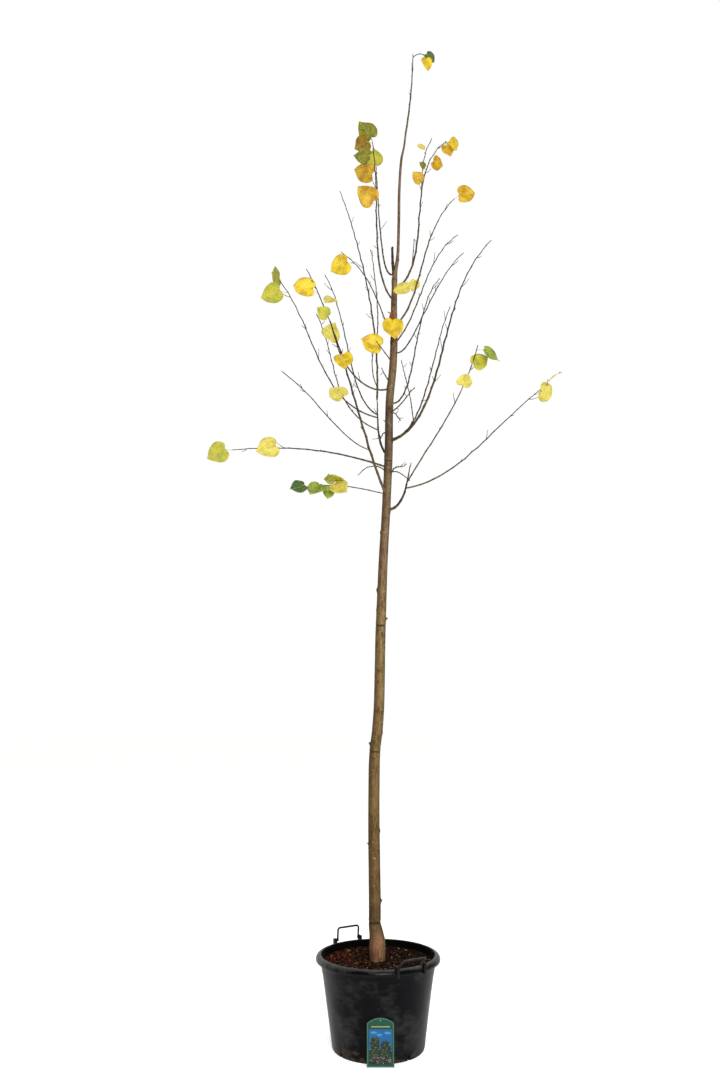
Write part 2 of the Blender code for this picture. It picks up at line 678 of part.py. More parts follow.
def leaf_bodies(limb, leaf):
    """Petiole and blade of one leaf, and the points that its space is judged by."""
    share, bearing, hang, tilt, size, _ = leaf
    node = limb.place(share)[0]
    way = heading(bearing, min(hang + PETIOLE_LIFT, 75.0))
    way = (way + PETIOLE_FORWARD * heading(FRONT, 0.0)).normalized()
    along = heading(bearing, hang)
    base = node + PETIOLE * size * way
    facing = heading(FRONT, tilt) + 0.02 * heading(bearing, 0.0)
    normal = (facing - along * facing.dot(along)).normalized()
    across = normal.cross(along)
    rim = [base + size * (u * along + v * across) for u, v in BLADE_OUTLINE]
    rim += [base + size * (u * along - v * across) for u, v in reversed(BLADE_OUTLINE[1:-1])]
    middle = base + size * (BLADE_MIDDLE * along - BLADE_DISH * normal)
    points = rim + [middle + 0.5 * BLADE_THICK * normal, middle - 0.5 * BLADE_THICK * normal]
    top, bottom = len(rim), len(rim) + 1
    faces = []
    for i in range(len(rim)):
        after = (i + 1) % len(rim)
        faces.append((top, i, after))
        faces.append((bottom, after, i))
    end = base + 0.16 * size * along - 0.16 / BLADE_MIDDLE * BLADE_DISH * size * normal
    stalk = tube([node, base, end], [PETIOLE_RADIUS] * 3, 3, [way, (way + along).normalized(), along])
    guide = [base.lerp(corner, part) for corner in rim for part in (0.5, 1.0)]
    guide += [node.lerp(base, 0.5 + 0.5 * part) for part in (0.0, 1.0)]
    return [stalk, (points, faces)], guide + [middle]


def twig_body(limb, share, dice):
    """One side twig, leaning off its limb on a side that the seeded rule picks."""
    point, direction = limb.place(share)
    side = frame_at(direction, Vector((0.4, 0.7, 0.2)))[0]
    side = Matrix.Rotation(dice.uniform(0.0, 2.0 * math.pi), 3, direction) @ side
    lean = math.radians(TWIG_LEAN * dice.uniform(0.8, 1.2))
    way = (math.cos(lean) * direction + math.sin(lean) * side).normalized()
    length = dice.uniform(*TWIG_LENGTH)
    bend = (way + 0.35 * UP).normalized()
    middle = point + 0.5 * length * way
    tip = middle + 0.5 * length * bend
    radii = [TWIG_RADIUS * 1.3, TWIG_RADIUS, TWIG_RADIUS * 0.8]
    body = tube([point, middle, tip], radii, 3, [way, (way + bend).normalized(), bend])
    return body, [middle, tip]


def mass_bodies(owner, limbs, space):
    """Every piece of one mass: whips, side twigs, petioles and blades."""
    dice = random.Random(SEED + list(LIMBS).index(owner))
    members = [name for name in LIMBS if mass_of(name) == owner]
    bodies = []
    for name in members:
        limb = limbs[name]
        stem = name == owner
        start = limb.bare if stem else 0.0
        lift = GAP if stem and (limb.bare > 0 or limb.parent == "tip") else 0.0
        bodies.append(limb.body(start, 1.0, WHIP_SIDES, lift))
        for leaf in LEAVES.get(name, ()):
            pieces, guide = leaf_bodies(limb, leaf)
            if space.is_free(guide, owner):
                bodies += pieces
                space.take(guide, owner)
            else:
                print("leaf skipped on", name, leaf)
    for name in members:
        limb = limbs[name]
        reach = limb.length * (1.0 - max(limb.bare, 0.12))
        for number in range(int(reach / TWIG_SPACING)):
            share = 1.0 - (number + dice.uniform(0.35, 0.75)) * TWIG_SPACING / limb.length
            body, guide = twig_body(limb, share, dice)
            if share > limb.bare + 0.06 and space.is_free(guide, owner):
                bodies.append(body)
                space.take(guide, owner)
    return bodies


def build_mass(owner, limbs, space, trunk_cutter):
    """One mass as one solid: its pieces joined by a single Boolean union."""
    bodies = mass_bodies(owner, limbs, space)
    mass = add_object("twigs_" + owner, bodies[0], "twigs_and_leaves", smooth=False)
    if len(bodies) > 1:
        pieces = bpy.data.collections.new("pieces_" + owner)
        bpy.context.scene.collection.children.link(pieces)
        for number, body in enumerate(bodies[1:]):
            piece = add_object("%s_%d" % (owner, number), body, "twigs_and_leaves", smooth=False)
            bpy.context.scene.collection.objects.unlink(piece)
            pieces.objects.link(piece)
        joint = mass.modifiers.new("join", "BOOLEAN")
        joint.operation = "UNION"
        joint.operand_type = "COLLECTION"
        joint.solver = "EXACT"
        joint.collection = pieces
        apply_modifiers(mass)
        for piece in list(pieces.objects):
            bpy.data.objects.remove(piece, do_unlink=True)
        bpy.data.collections.remove(pieces)
    if limbs[owner].bare == 0 and limbs[owner].parent == "trunk":
        add_boolean(mass, trunk_cutter)
    return mass


def build_bough(name, limb, trunk_cutter):
    """Bare part of a limb, cut to the trunk with a small gap."""
    body = limb.body(0.0, min(limb.bare, 1.0), BOUGH_SIDES)
    bough = add_object("bough_" + name, body, "bough_bark")
    add_boolean(bough, trunk_cutter)
    return bough


def build_tree():
    add_object("trunk", trunk_body(), "trunk_bark")
    trunk_cutter = make_cutter(add_object("trunk_cutter", trunk_body(GAP), "trunk_bark"))
    limbs = grow_limbs()
    space = Space(limbs)
    for name, limb in limbs.items():
        if limb.parent in ("trunk", "tip"):
            if limb.bare > 0:
                build_bough(name, limb, trunk_cutter)
            if limb.bare < 1:
                build_mass(name, limbs, space, trunk_cutter)


def build_container():
    build_pot()
    build_soil()
    rim = [(0.0, -0.01), (FOOT_RADIUS - 0.01, -0.01)] + rim_outline(GAP) + [(0.0, RIM_TOP + GAP)]
    rim_cutter = make_cutter(add_object("rim_cutter", turned(rim, POT_SIDES), "pot_plastic"))
    for name, bearing, tilt in HANDLES:
        for side in (-1.0, 1.0):
            build_clip("clip_%s_%d" % (name, 1 + (side > 0)), bearing, side, rim_cutter)
        build_handle("handle_" + name, bearing, tilt)
    build_card()


def main():
    clear_scene()
    build_container()
    build_tree()


main()
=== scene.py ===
# %% [markdown]
# # A young linden in its nursery pot
#
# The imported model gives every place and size. Each step below takes one real piece or
# finish, says how it could be made in Blender, and why this way was chosen. All lengths
# are metres, +Z is up and -Y is the front.

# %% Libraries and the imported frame
import json
import random
from functools import partial
from math import asin, ceil, copysign, cos, exp, hypot, pi, radians, sin, sqrt

import bmesh
import bpy
import numpy as np
from mathutils import Matrix, Vector, noise
from mathutils.kdtree import KDTree

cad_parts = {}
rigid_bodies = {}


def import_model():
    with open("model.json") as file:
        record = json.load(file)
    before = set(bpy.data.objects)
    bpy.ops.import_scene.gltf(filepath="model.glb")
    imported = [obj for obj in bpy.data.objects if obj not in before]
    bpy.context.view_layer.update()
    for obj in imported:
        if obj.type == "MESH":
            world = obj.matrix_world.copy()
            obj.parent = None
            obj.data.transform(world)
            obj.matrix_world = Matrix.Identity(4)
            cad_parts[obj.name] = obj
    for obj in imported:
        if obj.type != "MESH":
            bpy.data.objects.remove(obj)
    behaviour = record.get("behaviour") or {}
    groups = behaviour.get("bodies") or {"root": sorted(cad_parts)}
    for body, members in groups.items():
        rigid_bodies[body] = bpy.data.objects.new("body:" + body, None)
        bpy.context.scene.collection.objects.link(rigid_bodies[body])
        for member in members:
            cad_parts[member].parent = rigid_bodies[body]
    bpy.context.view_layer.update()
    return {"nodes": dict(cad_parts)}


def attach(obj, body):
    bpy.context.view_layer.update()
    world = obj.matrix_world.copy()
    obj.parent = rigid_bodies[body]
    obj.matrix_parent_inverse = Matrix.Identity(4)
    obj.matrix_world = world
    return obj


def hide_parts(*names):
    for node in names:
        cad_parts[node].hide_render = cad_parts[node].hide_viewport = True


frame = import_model()
MM = 0.001
UP = Vector((0, 0, 1))
FRONT = -90
TREE_BODY = "potted_tree"


# %% Objects, colours and nodes
def link(name, data):
    """An object that shows some data in the scene."""
    thing = bpy.data.objects.new(name, data)
    bpy.context.scene.collection.objects.link(thing)
    return thing


def mesh_object(name, points, faces, materials=()):
    mesh = bpy.data.meshes.new(name)
    mesh.from_pydata(points, [], faces)
    for material in materials:
        mesh.materials.append(material)
    return link(name, mesh)


def linear(code):
    """Linear colour of an sRGB hex value."""
    parts = [int(code[place:place + 2], 16) / 255 for place in (1, 3, 5)]
    return tuple(p / 12.92 if p <= 0.04045 else ((p + 0.055) / 1.055) ** 2.4 for p in parts) + (1,)


def join(node, *values, **named):
    """Set a node's inputs, in order or by name. A name in small letters is a setting.

    A value is a number, a hex colour, a node that gives its first output, or a pair of a
    node and the name of its output.
    """
    for name, value in [*enumerate(values), *named.items()]:
        if isinstance(name, str) and name.islower():
            setattr(node, name, value)
            continue
        socket = node.inputs[name.replace("_", " ") if isinstance(name, str) else name]
        source, output = value if isinstance(value, tuple) and len(value) == 2 else (value, 0)
        if isinstance(source, bpy.types.Node):
            node.id_data.links.new(source.outputs[output], socket)
        else:
            socket.default_value = linear(value) if isinstance(value, str) else value
    return node


def add_node(tree, kind, *values, stops=(), **named):
    """Add a node with its inputs, its settings and, for a colour ramp, its stops."""
    node = tree.nodes.new("ShaderNode" + kind)
    if stops:
        elements = node.color_ramp.elements
        while len(elements) < len(stops):
            elements.new(0.5)
        for element, (place, colour) in zip(elements, stops):
            element.position = place
            element.color = linear(colour)
    return join(node, *values, **named)


def start_material(name, rough=0.5, ior=1.45, shine=0.5, **sockets):
    """A material, what adds its nodes, its shader and the place on the object."""
    material = bpy.data.materials.new(name)
    material.use_nodes = True
    tree = material.node_tree
    shader = join(tree.nodes["Principled BSDF"], Roughness=rough, IOR=ior,
                  Specular_IOR_Level=shine, **sockets)
    return material, partial(add_node, tree), shader, (add_node(tree, "TexCoord"), "Object")


# %% [markdown]
# ## Camera, floor and light
#
# A tall plant is taken from a few metres away with a wide lens that looks slightly up.
# A large soft lamp in front of the plant rounds off the thin stems, and an even white
# sky lights the back of the crown. The floor is pale and plain, as in a studio.

# %% Camera
LENS = 28.89
CAMERA_PLACE = (-0.0706, -3.654, 1.248)
CAMERA_PITCH = 0.1999

camera_data = bpy.data.cameras.new("camera")
camera_data.lens = LENS
camera_data.sensor_width = 36
camera = link("camera", camera_data)
camera.location = CAMERA_PLACE
camera.rotation_euler = (0.5 * pi + CAMERA_PITCH, 0, 0)
bpy.context.scene.camera = camera
bpy.context.scene.view_settings.view_transform = "Standard"
print("camera at", CAMERA_PLACE, "lens", LENS, "mm")

# %% World and lamps
FRONT_GLOW, BACK_GLOW = 0.3, 0.62
LAMP_SIZE = 3
# Name, place, point it faces and power of each square soft lamp.
LAMPS = (("front_lamp", (0.9, -5.6, 3.2), (0, 0, 1.8), 285), ("top_lamp", (0.8, 1.2, 7.4), (0, 0, 2), 60))

world = bpy.data.worlds.new("white_studio")
bpy.context.scene.world = world
world.use_nodes = True
sky = world.node_tree
# The white wall behind the plant throws more light back than the room in front of it.
ray = add_node(sky, "SeparateXYZ", (add_node(sky, "TexCoord"), "Generated"))
join(sky.nodes["Background"], add_node(sky, "MapRange", (ray, "Y"), -0.9, 0.9, FRONT_GLOW, BACK_GLOW))
for name, place, target, power in LAMPS:
    data = bpy.data.lights.new(name, "AREA")
    data.size = LAMP_SIZE
    data.energy = power
    lamp = link(name, data)
    lamp.location = place
    lamp.rotation_euler = (Vector(place) - Vector(target)).to_track_quat("Z", "Y").to_euler()
print("lamps:", len(bpy.data.lights))

# %% Floor and backdrop
FLOOR_HALF = 60
BACKDROP_RADIUS, BACKDROP_HEIGHT, BACKDROP_SIDES = 55, 60, 64

# Matt paper has no shine, and lit from all round it is nearly as white as the sky.
paper, add, shader, _ = start_material("matt_white_studio_paper", 0.9, Emission_Color="#fdfdfc",
                                       Emission_Strength=0.56)
# Sheets of paper differ in tone over a few decimetres.
grain = add("TexNoise", Scale=3, Detail=3)
join(shader, Base_Color=add("ValToRGB", grain, stops=((0, "#fafaf9"), (1, "#fdfdfc"))))
corners = [(x * FLOOR_HALF, y * FLOOR_HALF, 0) for x, y in ((-1, -1), (1, -1), (1, 1), (-1, 1))]
floor = mesh_object("floor", corners, [(0, 1, 2, 3)], [paper])


def circle(count):
    """Cosine and sine of angles spread evenly round a circle."""
    angles = [2 * pi * step / count for step in range(count)]
    return [(cos(angle), sin(angle)) for angle in angles]


# A lit white cloth hangs all round, far off, and throws no light on the plant.
cloth = start_material("lit_white_cloth", 1, 1.5, Base_Color="#000000", Emission_Color="#ffffff",
                       Emission_Strength=1)[0]
corners = [(BACKDROP_RADIUS * x, BACKDROP_RADIUS * y, level)
           for x, y in circle(BACKDROP_SIDES) for level in (-1, BACKDROP_HEIGHT)]
around = len(corners)
faces = [(k, k + 1, (k + 3) % around, (k + 2) % around) for k in range(0, around, 2)]
backdrop = mesh_object("backdrop", corners, faces, [cloth])
backdrop.visible_diffuse = backdrop.visible_glossy = backdrop.visible_shadow = False
for thing in (floor, backdrop):
    print("stage:", thing.name)

# %% [markdown]
# ## Shapes in code
#
# A plant is many small shapes of one kind. Putting their points in one list and making
# one mesh of it is far quicker than an object for each, and it keeps each kind of piece,
# such as buds or leaves, in one piece with its own materials.


# %% Collecting points and faces
def settle(thing, body=TREE_BODY, nodes=(), sharp=180):
    """Shade a finished piece, and let it ride and stand for its nodes."""
    thing.data.shade_smooth()
    if sharp < 180:
        thing.data.set_sharp_from_angle(angle=radians(sharp))
    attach(thing, body)
    if nodes:
        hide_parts(*nodes)
    print("%s: %d points" % (thing.name, len(thing.data.vertices)))


class Heap:
    """Points, faces, materials and point values of many shapes that form one piece."""

    def __init__(self):
        self.points, self.faces, self.kinds, self.values = [], [], [], []

    def put(self, points, faces, kind=0, values=None):
        start = len(self.points)
        self.points.extend(points)
        self.faces.extend(tuple(start + corner for corner in face) for face in faces)
        self.kinds.extend([kind] * len(faces))
        self.values.extend(values or [(0, 0, 0)] * len(points))

    def piece(self, name, materials, slot, nodes=(), value_name="", sharp=180):
        """Make the piece, with a material for each face and a value for each point."""
        thing = mesh_object(name, self.points, self.faces, materials)
        thing.data.polygons.foreach_set("material_index", self.kinds)
        if value_name:
            layer = thing.data.attributes.new(value_name, "FLOAT_VECTOR", "POINT")
            layer.data.foreach_set("vector", np.array(self.values, np.float32).ravel())
        settle(thing, nodes=nodes, sharp=sharp)


# %% Directions, tubes and turned shapes
def heading(bearing, slope):
    """Unit direction from a bearing and a slope, both in degrees."""
    turn, lift = radians(bearing), radians(slope)
    return Vector((cos(turn) * cos(lift), sin(turn) * cos(lift), sin(lift)))


def frame_at(direction, across=(0.4, 0.7, 0.2)):
    """Two directions square to a limb, the first as near as can be to a given one."""
    across = Vector(across)
    across = (across - direction * across.dot(direction)).normalized()
    return across, direction.cross(across)


def courses(line):
    """The direction of a line at each of its points."""
    ends = zip([line[0]] + line[:-1], line[1:] + [line[-1]])
    return [(after - before).normalized() for before, after in ends]


def ring_faces(rings, sides):
    """Faces of a tube of rings, with one flat face at each end."""
    faces, last = [], (rings - 1) * sides
    for low in range(0, last, sides):
        for side in range(sides):
            after = (side + 1) % sides
            faces.append((low + side, low + after, low + sides + after, low + sides + side))
    return faces + [tuple(reversed(range(sides))), tuple(range(last, last + sides))]


def tube(points, radii, sides, directions):
    """Points and faces of a tapering limb along its centre line."""
    across, corners = Vector((0.31, -0.84, 0.17)), []
    if abs(across.normalized().dot(directions[0])) > 0.9:
        across = Vector((1, 0.2, 0))
    for point, radius, direction in zip(points, radii, directions):
        across, other = frame_at(direction, across)
        corners += [point + radius * (x * across + y * other) for x, y in circle(sides)]
    return corners, ring_faces(len(points), sides)


def turned(outline, sides):
    """Points and faces of an outline of (radius, height) turned about Z."""
    points, rings, faces = [], [], []
    for radius, height in outline:
        start = len(points)
        points += [Vector((radius * x, radius * y, height)) for x, y in circle(sides if radius else 1)]
        rings.append(range(start, len(points)))
    for low, high in zip(rings, rings[1:]):
        for side in range(sides):
            after = (side + 1) % sides
            corners = (low[side % len(low)], low[after % len(low)],
                       high[after % len(high)], high[side % len(high)])
            # A ring of one point is a pole, where a face has three corners.
            faces.append(tuple(dict.fromkeys(corners)))
    return points, faces


# %% [markdown]
# ## Bark of a young linden
#
# Young linden bark is smooth and thin: olive brown, warmer and pinker at the collar and
# redder near the top, with long fine streaks, small corky pores and dark rubbed rings
# where the ties to a cane sat. The pattern could be painted, but streaks worked out from
# place in the shader need no image and stay sharp at any distance.

# %% Bark materials
STREAK_WIDTH = 6 * MM
PORE_SPACING = 11 * MM
# Corky lines lie across the stem. They are drawn about twice as wide as real ones, to show.
LINE_WIDTH = 5 * MM
# Painted shade on the bark: its sides that point to -X and +X are darkened and greyed, from the side that
# points to -X round to the other side.
SIDE_SHADE_STOPS = ((0.04, "#b2b2ae"), (0.22, "#cdbda6"), (0.58, "#ffffff"), (0.8, "#fbf6ec"),
                 (0.97, "#c6d0c4"))


def bark(name, ramp_stops, dark, relief, algae):
    """Bark whose colour follows its place, with streaks, pores, algae, rubbed marks and painted shade on its
    sides.

    The point value called wear holds how dark a mark is, the share of the stem from
    its foot to its tip and a tone, so that neighbouring whips differ.
    """
    # Dry bark scatters light evenly, so it is rough and has only a dull shine.
    material, add, shader, place = start_material(name, 0.72, shine=0.25)
    wear = add("SeparateXYZ", (add("Attribute", attribute_name="wear"), "Vector"))
    colour = add("ValToRGB", (wear, "Y"), stops=ramp_stops)
    stretched = add("Mapping", place, Scale=(1, 1, 0.22))
    streaks = add("TexNoise", stretched, Scale=1 / STREAK_WIDTH, Detail=4, Roughness=0.6)
    # Tone drifts over about 110 mm of stem, as algae and weather lie on it.
    clouds = add("TexNoise", place, Scale=9, Detail=5)
    tone = add("Math", clouds, 0.35, streaks, operation="MULTIPLY_ADD")
    streaky = add("MixRGB", add("MapRange", tone, 0.46, 0.74), dark, colour)
    crust = add("MapRange", clouds, 0.52, 0.62, 0, algae)
    crusted = add("MixRGB", crust, streaky, "#83704e")
    lying = add("Mapping", place, Scale=(0.22, 0.22, 1))
    lines = add("TexNoise", lying, Scale=1 / LINE_WIDTH, Detail=2)
    lined = add("MixRGB", add("MapRange", lines, 0.66, 0.72, 0, 0.7), crusted, "#b39a72")
    flat = add("Mapping", place, Scale=(0.6, 0.6, 1.6))
    pores = add("TexVoronoi", flat, Scale=1 / PORE_SPACING)
    pore = add("MapRange", pores, 0.1, 0.22, 1, 0)
    pored = add("MixRGB", pore, lined, "#4a3822")
    # Painted shade: the bark is darkened on the faces that point to -X and +X, by which way each face
    # points.
    facing = add("SeparateXYZ", (add("NewGeometry"), "Normal"))
    side_shade = add("ValToRGB", add("MapRange", (facing, "X"), -1), stops=SIDE_SHADE_STOPS)
    side_shaded = add("MixRGB", 1, pored, side_shade, blend_type="MULTIPLY")
    pale = add("MapRange", (wear, "Z"), 0, 1, 0.8, 1.22)
    varied = add("MixRGB", 1, side_shaded, pale, blend_type="MULTIPLY")
    marked = add("MixRGB", (wear, "X"), varied, "#2c2118")
    lumps = add("Math", tone, pore, operation="ADD")
    join(shader, Base_Color=marked, Normal=add("Bump", Height=lumps, Strength=0.6, Distance=relief))
    return material


trunk_bark = bark("smooth_linden_bark", (
    (0, "#8c674b"), (0.02, "#aa7b59"), (0.04, "#5c4629"), (0.11, "#694f26"), (0.24, "#6f5930"),
    (0.41, "#826b45"), (0.57, "#725d44"), (0.7, "#5b4e3c"), (0.8, "#6e5842"), (0.9, "#876d52"),
    (1, "#735d48")), "#3a2915", 0.5 * MM, 0.3)
shoot_bark = bark("linden_shoot_bark", ((0, "#72603f"), (0.14, "#5c4e35"), (0.45, "#3b3020"),
                                        (1, "#30271b")), "#1a150c", 0.3 * MM, 0.1)
print("bark materials:", trunk_bark.name, shoot_bark.name)

# %% [markdown]
# ## Trunk
#
# The trunk is one leaning stem with a swollen collar at the soil, a knob wherever a side
# shoot was pruned, swellings under each limb and grooves rubbed by old ties. Sculpting
# would do it by hand; here rings a few millimetres apart are laid along the packed
# trunk's own curve, and each feature pushes the points near it in or out.

# %% Trunk curve
# Height, X and Y of the middle, and thickness.
STATIONS = (
    (0.3063, -0.0025, 0, 0.06), (0.332, -0.0025, 0, 0.0625),
    (0.357, -0.0026, 0, 0.0635), (0.383, -0.0028, 0.001, 0.0625),
    (0.405, -0.0056, 0.001, 0.0575), (0.425, -0.0091, 0.002, 0.053),
    (0.4455, -0.0125, 0.002, 0.048), (0.475, -0.012, 0.003, 0.0478),
    (0.61, -0.0125, 0.004, 0.0478), (0.83, -0.0145, 0.006, 0.0465),
    (1.01, -0.013, 0.006, 0.0455), (1.11, -0.009, 0.005, 0.0448),
    (1.19, 0.001, 0.004, 0.0445), (1.31, 0.009, 0.003, 0.044),
    (1.56, 0.015, 0, 0.043), (1.77, 0.023, -0.003, 0.0405),
    (1.94, 0.031, -0.005, 0.0385), (2.08, 0.04, -0.005, 0.037),
    (2.35, 0.054, -0.003, 0.0362), (2.62, 0.061, 0, 0.035),
    (2.77, 0.076, 0.002, 0.034), (2.91, 0.083, 0.003, 0.0325),
    (3.06, 0.084, 0.003, 0.0285), (3.18, 0.0875, 0.002, 0.025),
    (3.245, 0.091, 0.001, 0.0205), (3.295, 0.1, 0, 0.016),
    (3.355, 0.105, 0, 0.0135), (3.51, 0.11, 0.001, 0.013),
    (3.66, 0.1135, 0.002, 0.0125), (3.82, 0.1245, 0.002, 0.0115),
    (3.89, 0.138, 0.001, 0.0095), (3.96, 0.1465, 0, 0.0085),
)
TRUNK_FOOT, TRUNK_TOP = STATIONS[0][0], STATIONS[-1][0]
FLARE = 0.004
FLARE_HEIGHT = 0.01


def trunk_value(height, column):
    """A trunk column at any height, on a smooth curve through the stations."""
    def slope(index):
        before, after = STATIONS[max(index - 1, 0)], STATIONS[min(index + 1, len(STATIONS) - 1)]
        return (after[column] - before[column]) / (after[0] - before[0])

    index = 0
    while index < len(STATIONS) - 2 and STATIONS[index + 1][0] < height:
        index += 1
    low, high = STATIONS[index], STATIONS[index + 1]
    span = high[0] - low[0]
    t = (height - low[0]) / span
    return ((2 * t ** 3 - 3 * t ** 2 + 1) * low[column] + (t ** 3 - 2 * t ** 2 + t) * span * slope(index)
            + (3 * t ** 2 - 2 * t ** 3) * high[column] + (t ** 3 - t ** 2) * span * slope(index + 1))


def trunk_point(height):
    return Vector((trunk_value(height, 1), trunk_value(height, 2), height))


def trunk_radius(height):
    return 0.5 * (trunk_value(height, 3) + FLARE * exp(-(height - TRUNK_FOOT) / FLARE_HEIGHT))


print("trunk from", TRUNK_FOOT, "to", TRUNK_TOP)

# %% [markdown]
# ## Limbs
#
# A limb is described by its foot on the trunk or on its parent, the way it leaves, its
# reach and its thickness. One smooth curve carries each from root to tip, as in the
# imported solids, so the finer wood made here grows in the same places.

# %% Limb table
# name: bare share, foot, bearing, reach, rise, slope at root, slope at tip, sideways swing,
#       thickness at the root in mm, and the parent of a limb that isn't on the trunk
LIMBS = {
    "low_left": (0.17, 2.18, -150, 0.4, 0.96, 39, 57, 33, 11),
    "low_left_fork": (0, 0.21, -145, 0.43, 0.25, -1, 23, 12, 4.6, "low_left"),
    "level_left": (0.3, 2.31, 170, 0.71, 0.12, 24, -2, -7, 8),
    "thin_left": (0, 2.19, -160, 0.36, 0, 6, -15, 4, 4.6),
    "mid_left": (0.42, 2.36, 135, 0.07, 0.3, 44, 83, 3, 11),
    "mid_left_top": (0, 0.95, 116, 0.41, 1.28, 68, 61, -33, 8.4, "mid_left"),
    "mid_left_a": (0, 0.67, -167, 0.45, 0.61, 11, 52, -7, 6.6, "mid_left"),
    "mid_left_b": (0, 0.48, 135, 0.42, 0.7, 28, 59, 15, 5.6, "mid_left"),
    "mid_left_c": (0, 0.71, 155, 0.27, 0.74, 32, 62, -29, 6.4, "mid_left"),
    "mid_left_d": (0, 0.26, 93, 0.31, 0.64, 33, 41, -13, 5.6, "mid_left_top"),
    "swept_left": (0, 2.68, -148, 0.3, 0.21, -18, 83, -46, 8),
    "steep_left": (0, 0.13, 150, 0.02, 0.22, 60, 105, 0, 4.6, "swept_left"),
    "slim_left": (0, 2.9, 157, 0.26, 0.5, 69, 41, 15, 5.6),
    "leaf_left": (0, 2.79, -123, 0.14, 0.06, 37, 25, 0, 5.6),
    "front_stub": (0, 2.965, -115, 0.045, 0.03, 20, 50, 0, 6),
    "top_left_a": (0.2, 3.1, -141, 0.13, 0.77, -1, 77, 24, 8.4),
    "top_left_b": (0.2, 3.24, 108, 0.27, 0.77, 14, 79, -5, 8),
    "low_right": (0.48, 2.12, -11, 0.11, 0.2, 0, 76, 11, 12),
    "low_right_long": (0, 0.56, 10, 0.67, 0.52, 15, 37, 20, 6.8, "low_right"),
    "low_right_fork": (0, 0.66, -41, 0.38, 0.52, 51, 71, 1, 6.2, "low_right"),
    "main_right": (0.12, 2.43, -12, 0.47, 0.91, -2, 44, -35, 10.6),
    "main_right_back": (0.2, 2.44, 47, 0.47, 0.8, 17, 61, 8, 7.6),
    "inner_right": (0, 0.14, 94, 0.42, 0.47, 60, 47, -1, 4.6, "main_right"),
    "high_right_a": (0.28, 2.61, 49, 0.4, 0.76, 11, 44, 14, 7.6),
    "toward_right": (0, 2.56, -76, 0.37, -0.02, -2, -3, 10, 5.6),
    "high_right_b": (0.28, 2.86, 7, 0.33, 0.5, 1, 43, 62, 6.6),
    "high_right_c": (0.26, 2.89, 32, 0.38, 0.66, 46, 41, 14, 6.6),
    "high_right_d": (0.2, 2.98, -20, 0.29, 0.57, 0, 40, -38, 8.2),
    "top_right": (0.15, 3.15, 21, 0.28, 0.84, 41, 42, 11, 9.4),
    "top_right_fork": (0, 0.55, -4, 0.06, 0.36, 82, 62, -11, 4.2, "top_right"),
    "top_right_spur": (0, 0.2, -87, 0.09, 0.08, 40, 80, 0, 4.2, "top_right"),
    "old_leader": (1, 3.2, -140, 0.012, 0.165, 80, 92, 0, 15),
    "cross_twig": (0, 2.28, -55, 0.15, -0.06, 20, -35, 8, 5),
    "back_right": (0.3, 2.26, 78, 0.53, 0.22, 40, 25, -5, 6.4),
    "back_left": (0, 2.28, 108, 0.42, 0.11, 31, -9, -9, 5.6),
    "back_mid": (0, 2.54, 81, 0.47, 0.15, 35, 12, 0, 5.6),
    "front_left": (0, 2.46, -100, 0.26, -0.1, -4, -26, -9, 5.2),
    "behind_twig": (0, 2.7, 97, 0.3, 0.2, 34, 34, 4, 5.6),
    "leader": (0, 3.96, 0, 0.04, 0.43, 81, 88, 0, 8.5, "tip"),
    "leader_hook": (0, 0.96, -8, 0.05, 0.012, 62, -48, 0, 3.6, "leader"),
}
CURVE_REACH = 0.36
TIP_RADIUS = 0.0014
# A limb that was cut back ends blunt.
CUT_TIP_RADIUS = {"old_leader": 0.0038}
COLLAR = 0.35
COLLAR_LENGTH = 0.012
print("limbs in the table:", len(LIMBS))


# %% Limb curves
def parent_of(name):
    return LIMBS[name][9] if len(LIMBS[name]) > 9 else "trunk"


class Limb:
    """One limb: its centre line and thickness, read by share of its length."""

    steps = 48

    def __init__(self, name, root):
        self.name = name
        self.bare, _, bearing, reach, rise, leave, end, swing, thick = LIMBS[name][:9]
        self.parent = parent_of(name)
        run = CURVE_REACH * hypot(reach, rise)
        tip = root + Vector((reach * cos(radians(bearing)), reach * sin(radians(bearing)), rise))
        first = root + run * heading(bearing + swing, leave)
        second = tip - run * heading(bearing, end)
        self.points, self.lengths = [root.copy()], [0]
        for step in range(1, self.steps + 1):
            t = step / self.steps
            self.points.append((1 - t) ** 3 * root + 3 * (1 - t) ** 2 * t * first
                               + 3 * (1 - t) * t * t * second + t ** 3 * tip)
            self.lengths.append(self.lengths[-1] + (self.points[-1] - self.points[-2]).length)
        self.length = self.lengths[-1]
        self.root_radius = 0.0005 * thick

    def place(self, share):
        """Point at a share of the length, and the direction there."""
        want = min(max(share, 0), 1) * self.length
        index = 0
        while index < self.steps - 1 and self.lengths[index + 1] < want:
            index += 1
        low, high = self.points[index], self.points[index + 1]
        span = self.lengths[index + 1] - self.lengths[index]
        return low.lerp(high, (want - self.lengths[index]) / span), (high - low).normalized()

    def radius(self, share):
        tip = CUT_TIP_RADIUS.get(self.name, TIP_RADIUS)
        plain = tip + (self.root_radius - tip) * (1 - share) ** 1.1
        if self.parent != "trunk":
            return plain
        return plain * (1 + COLLAR * exp(-share * self.length / COLLAR_LENGTH))


limbs = {}
for name, (_, foot, *_) in LIMBS.items():
    parent = limbs.get(parent_of(name))
    limbs[name] = Limb(name, parent.place(foot)[0] if parent else trunk_point(foot))


def mass_of(name):
    """Name of the limb whose mass a limb belongs to."""
    while parent_of(name) in LIMBS:
        name = parent_of(name)
    return name


print("limbs:", len(limbs), "with %.1f m of wood" % sum(limb.length for limb in limbs.values()))

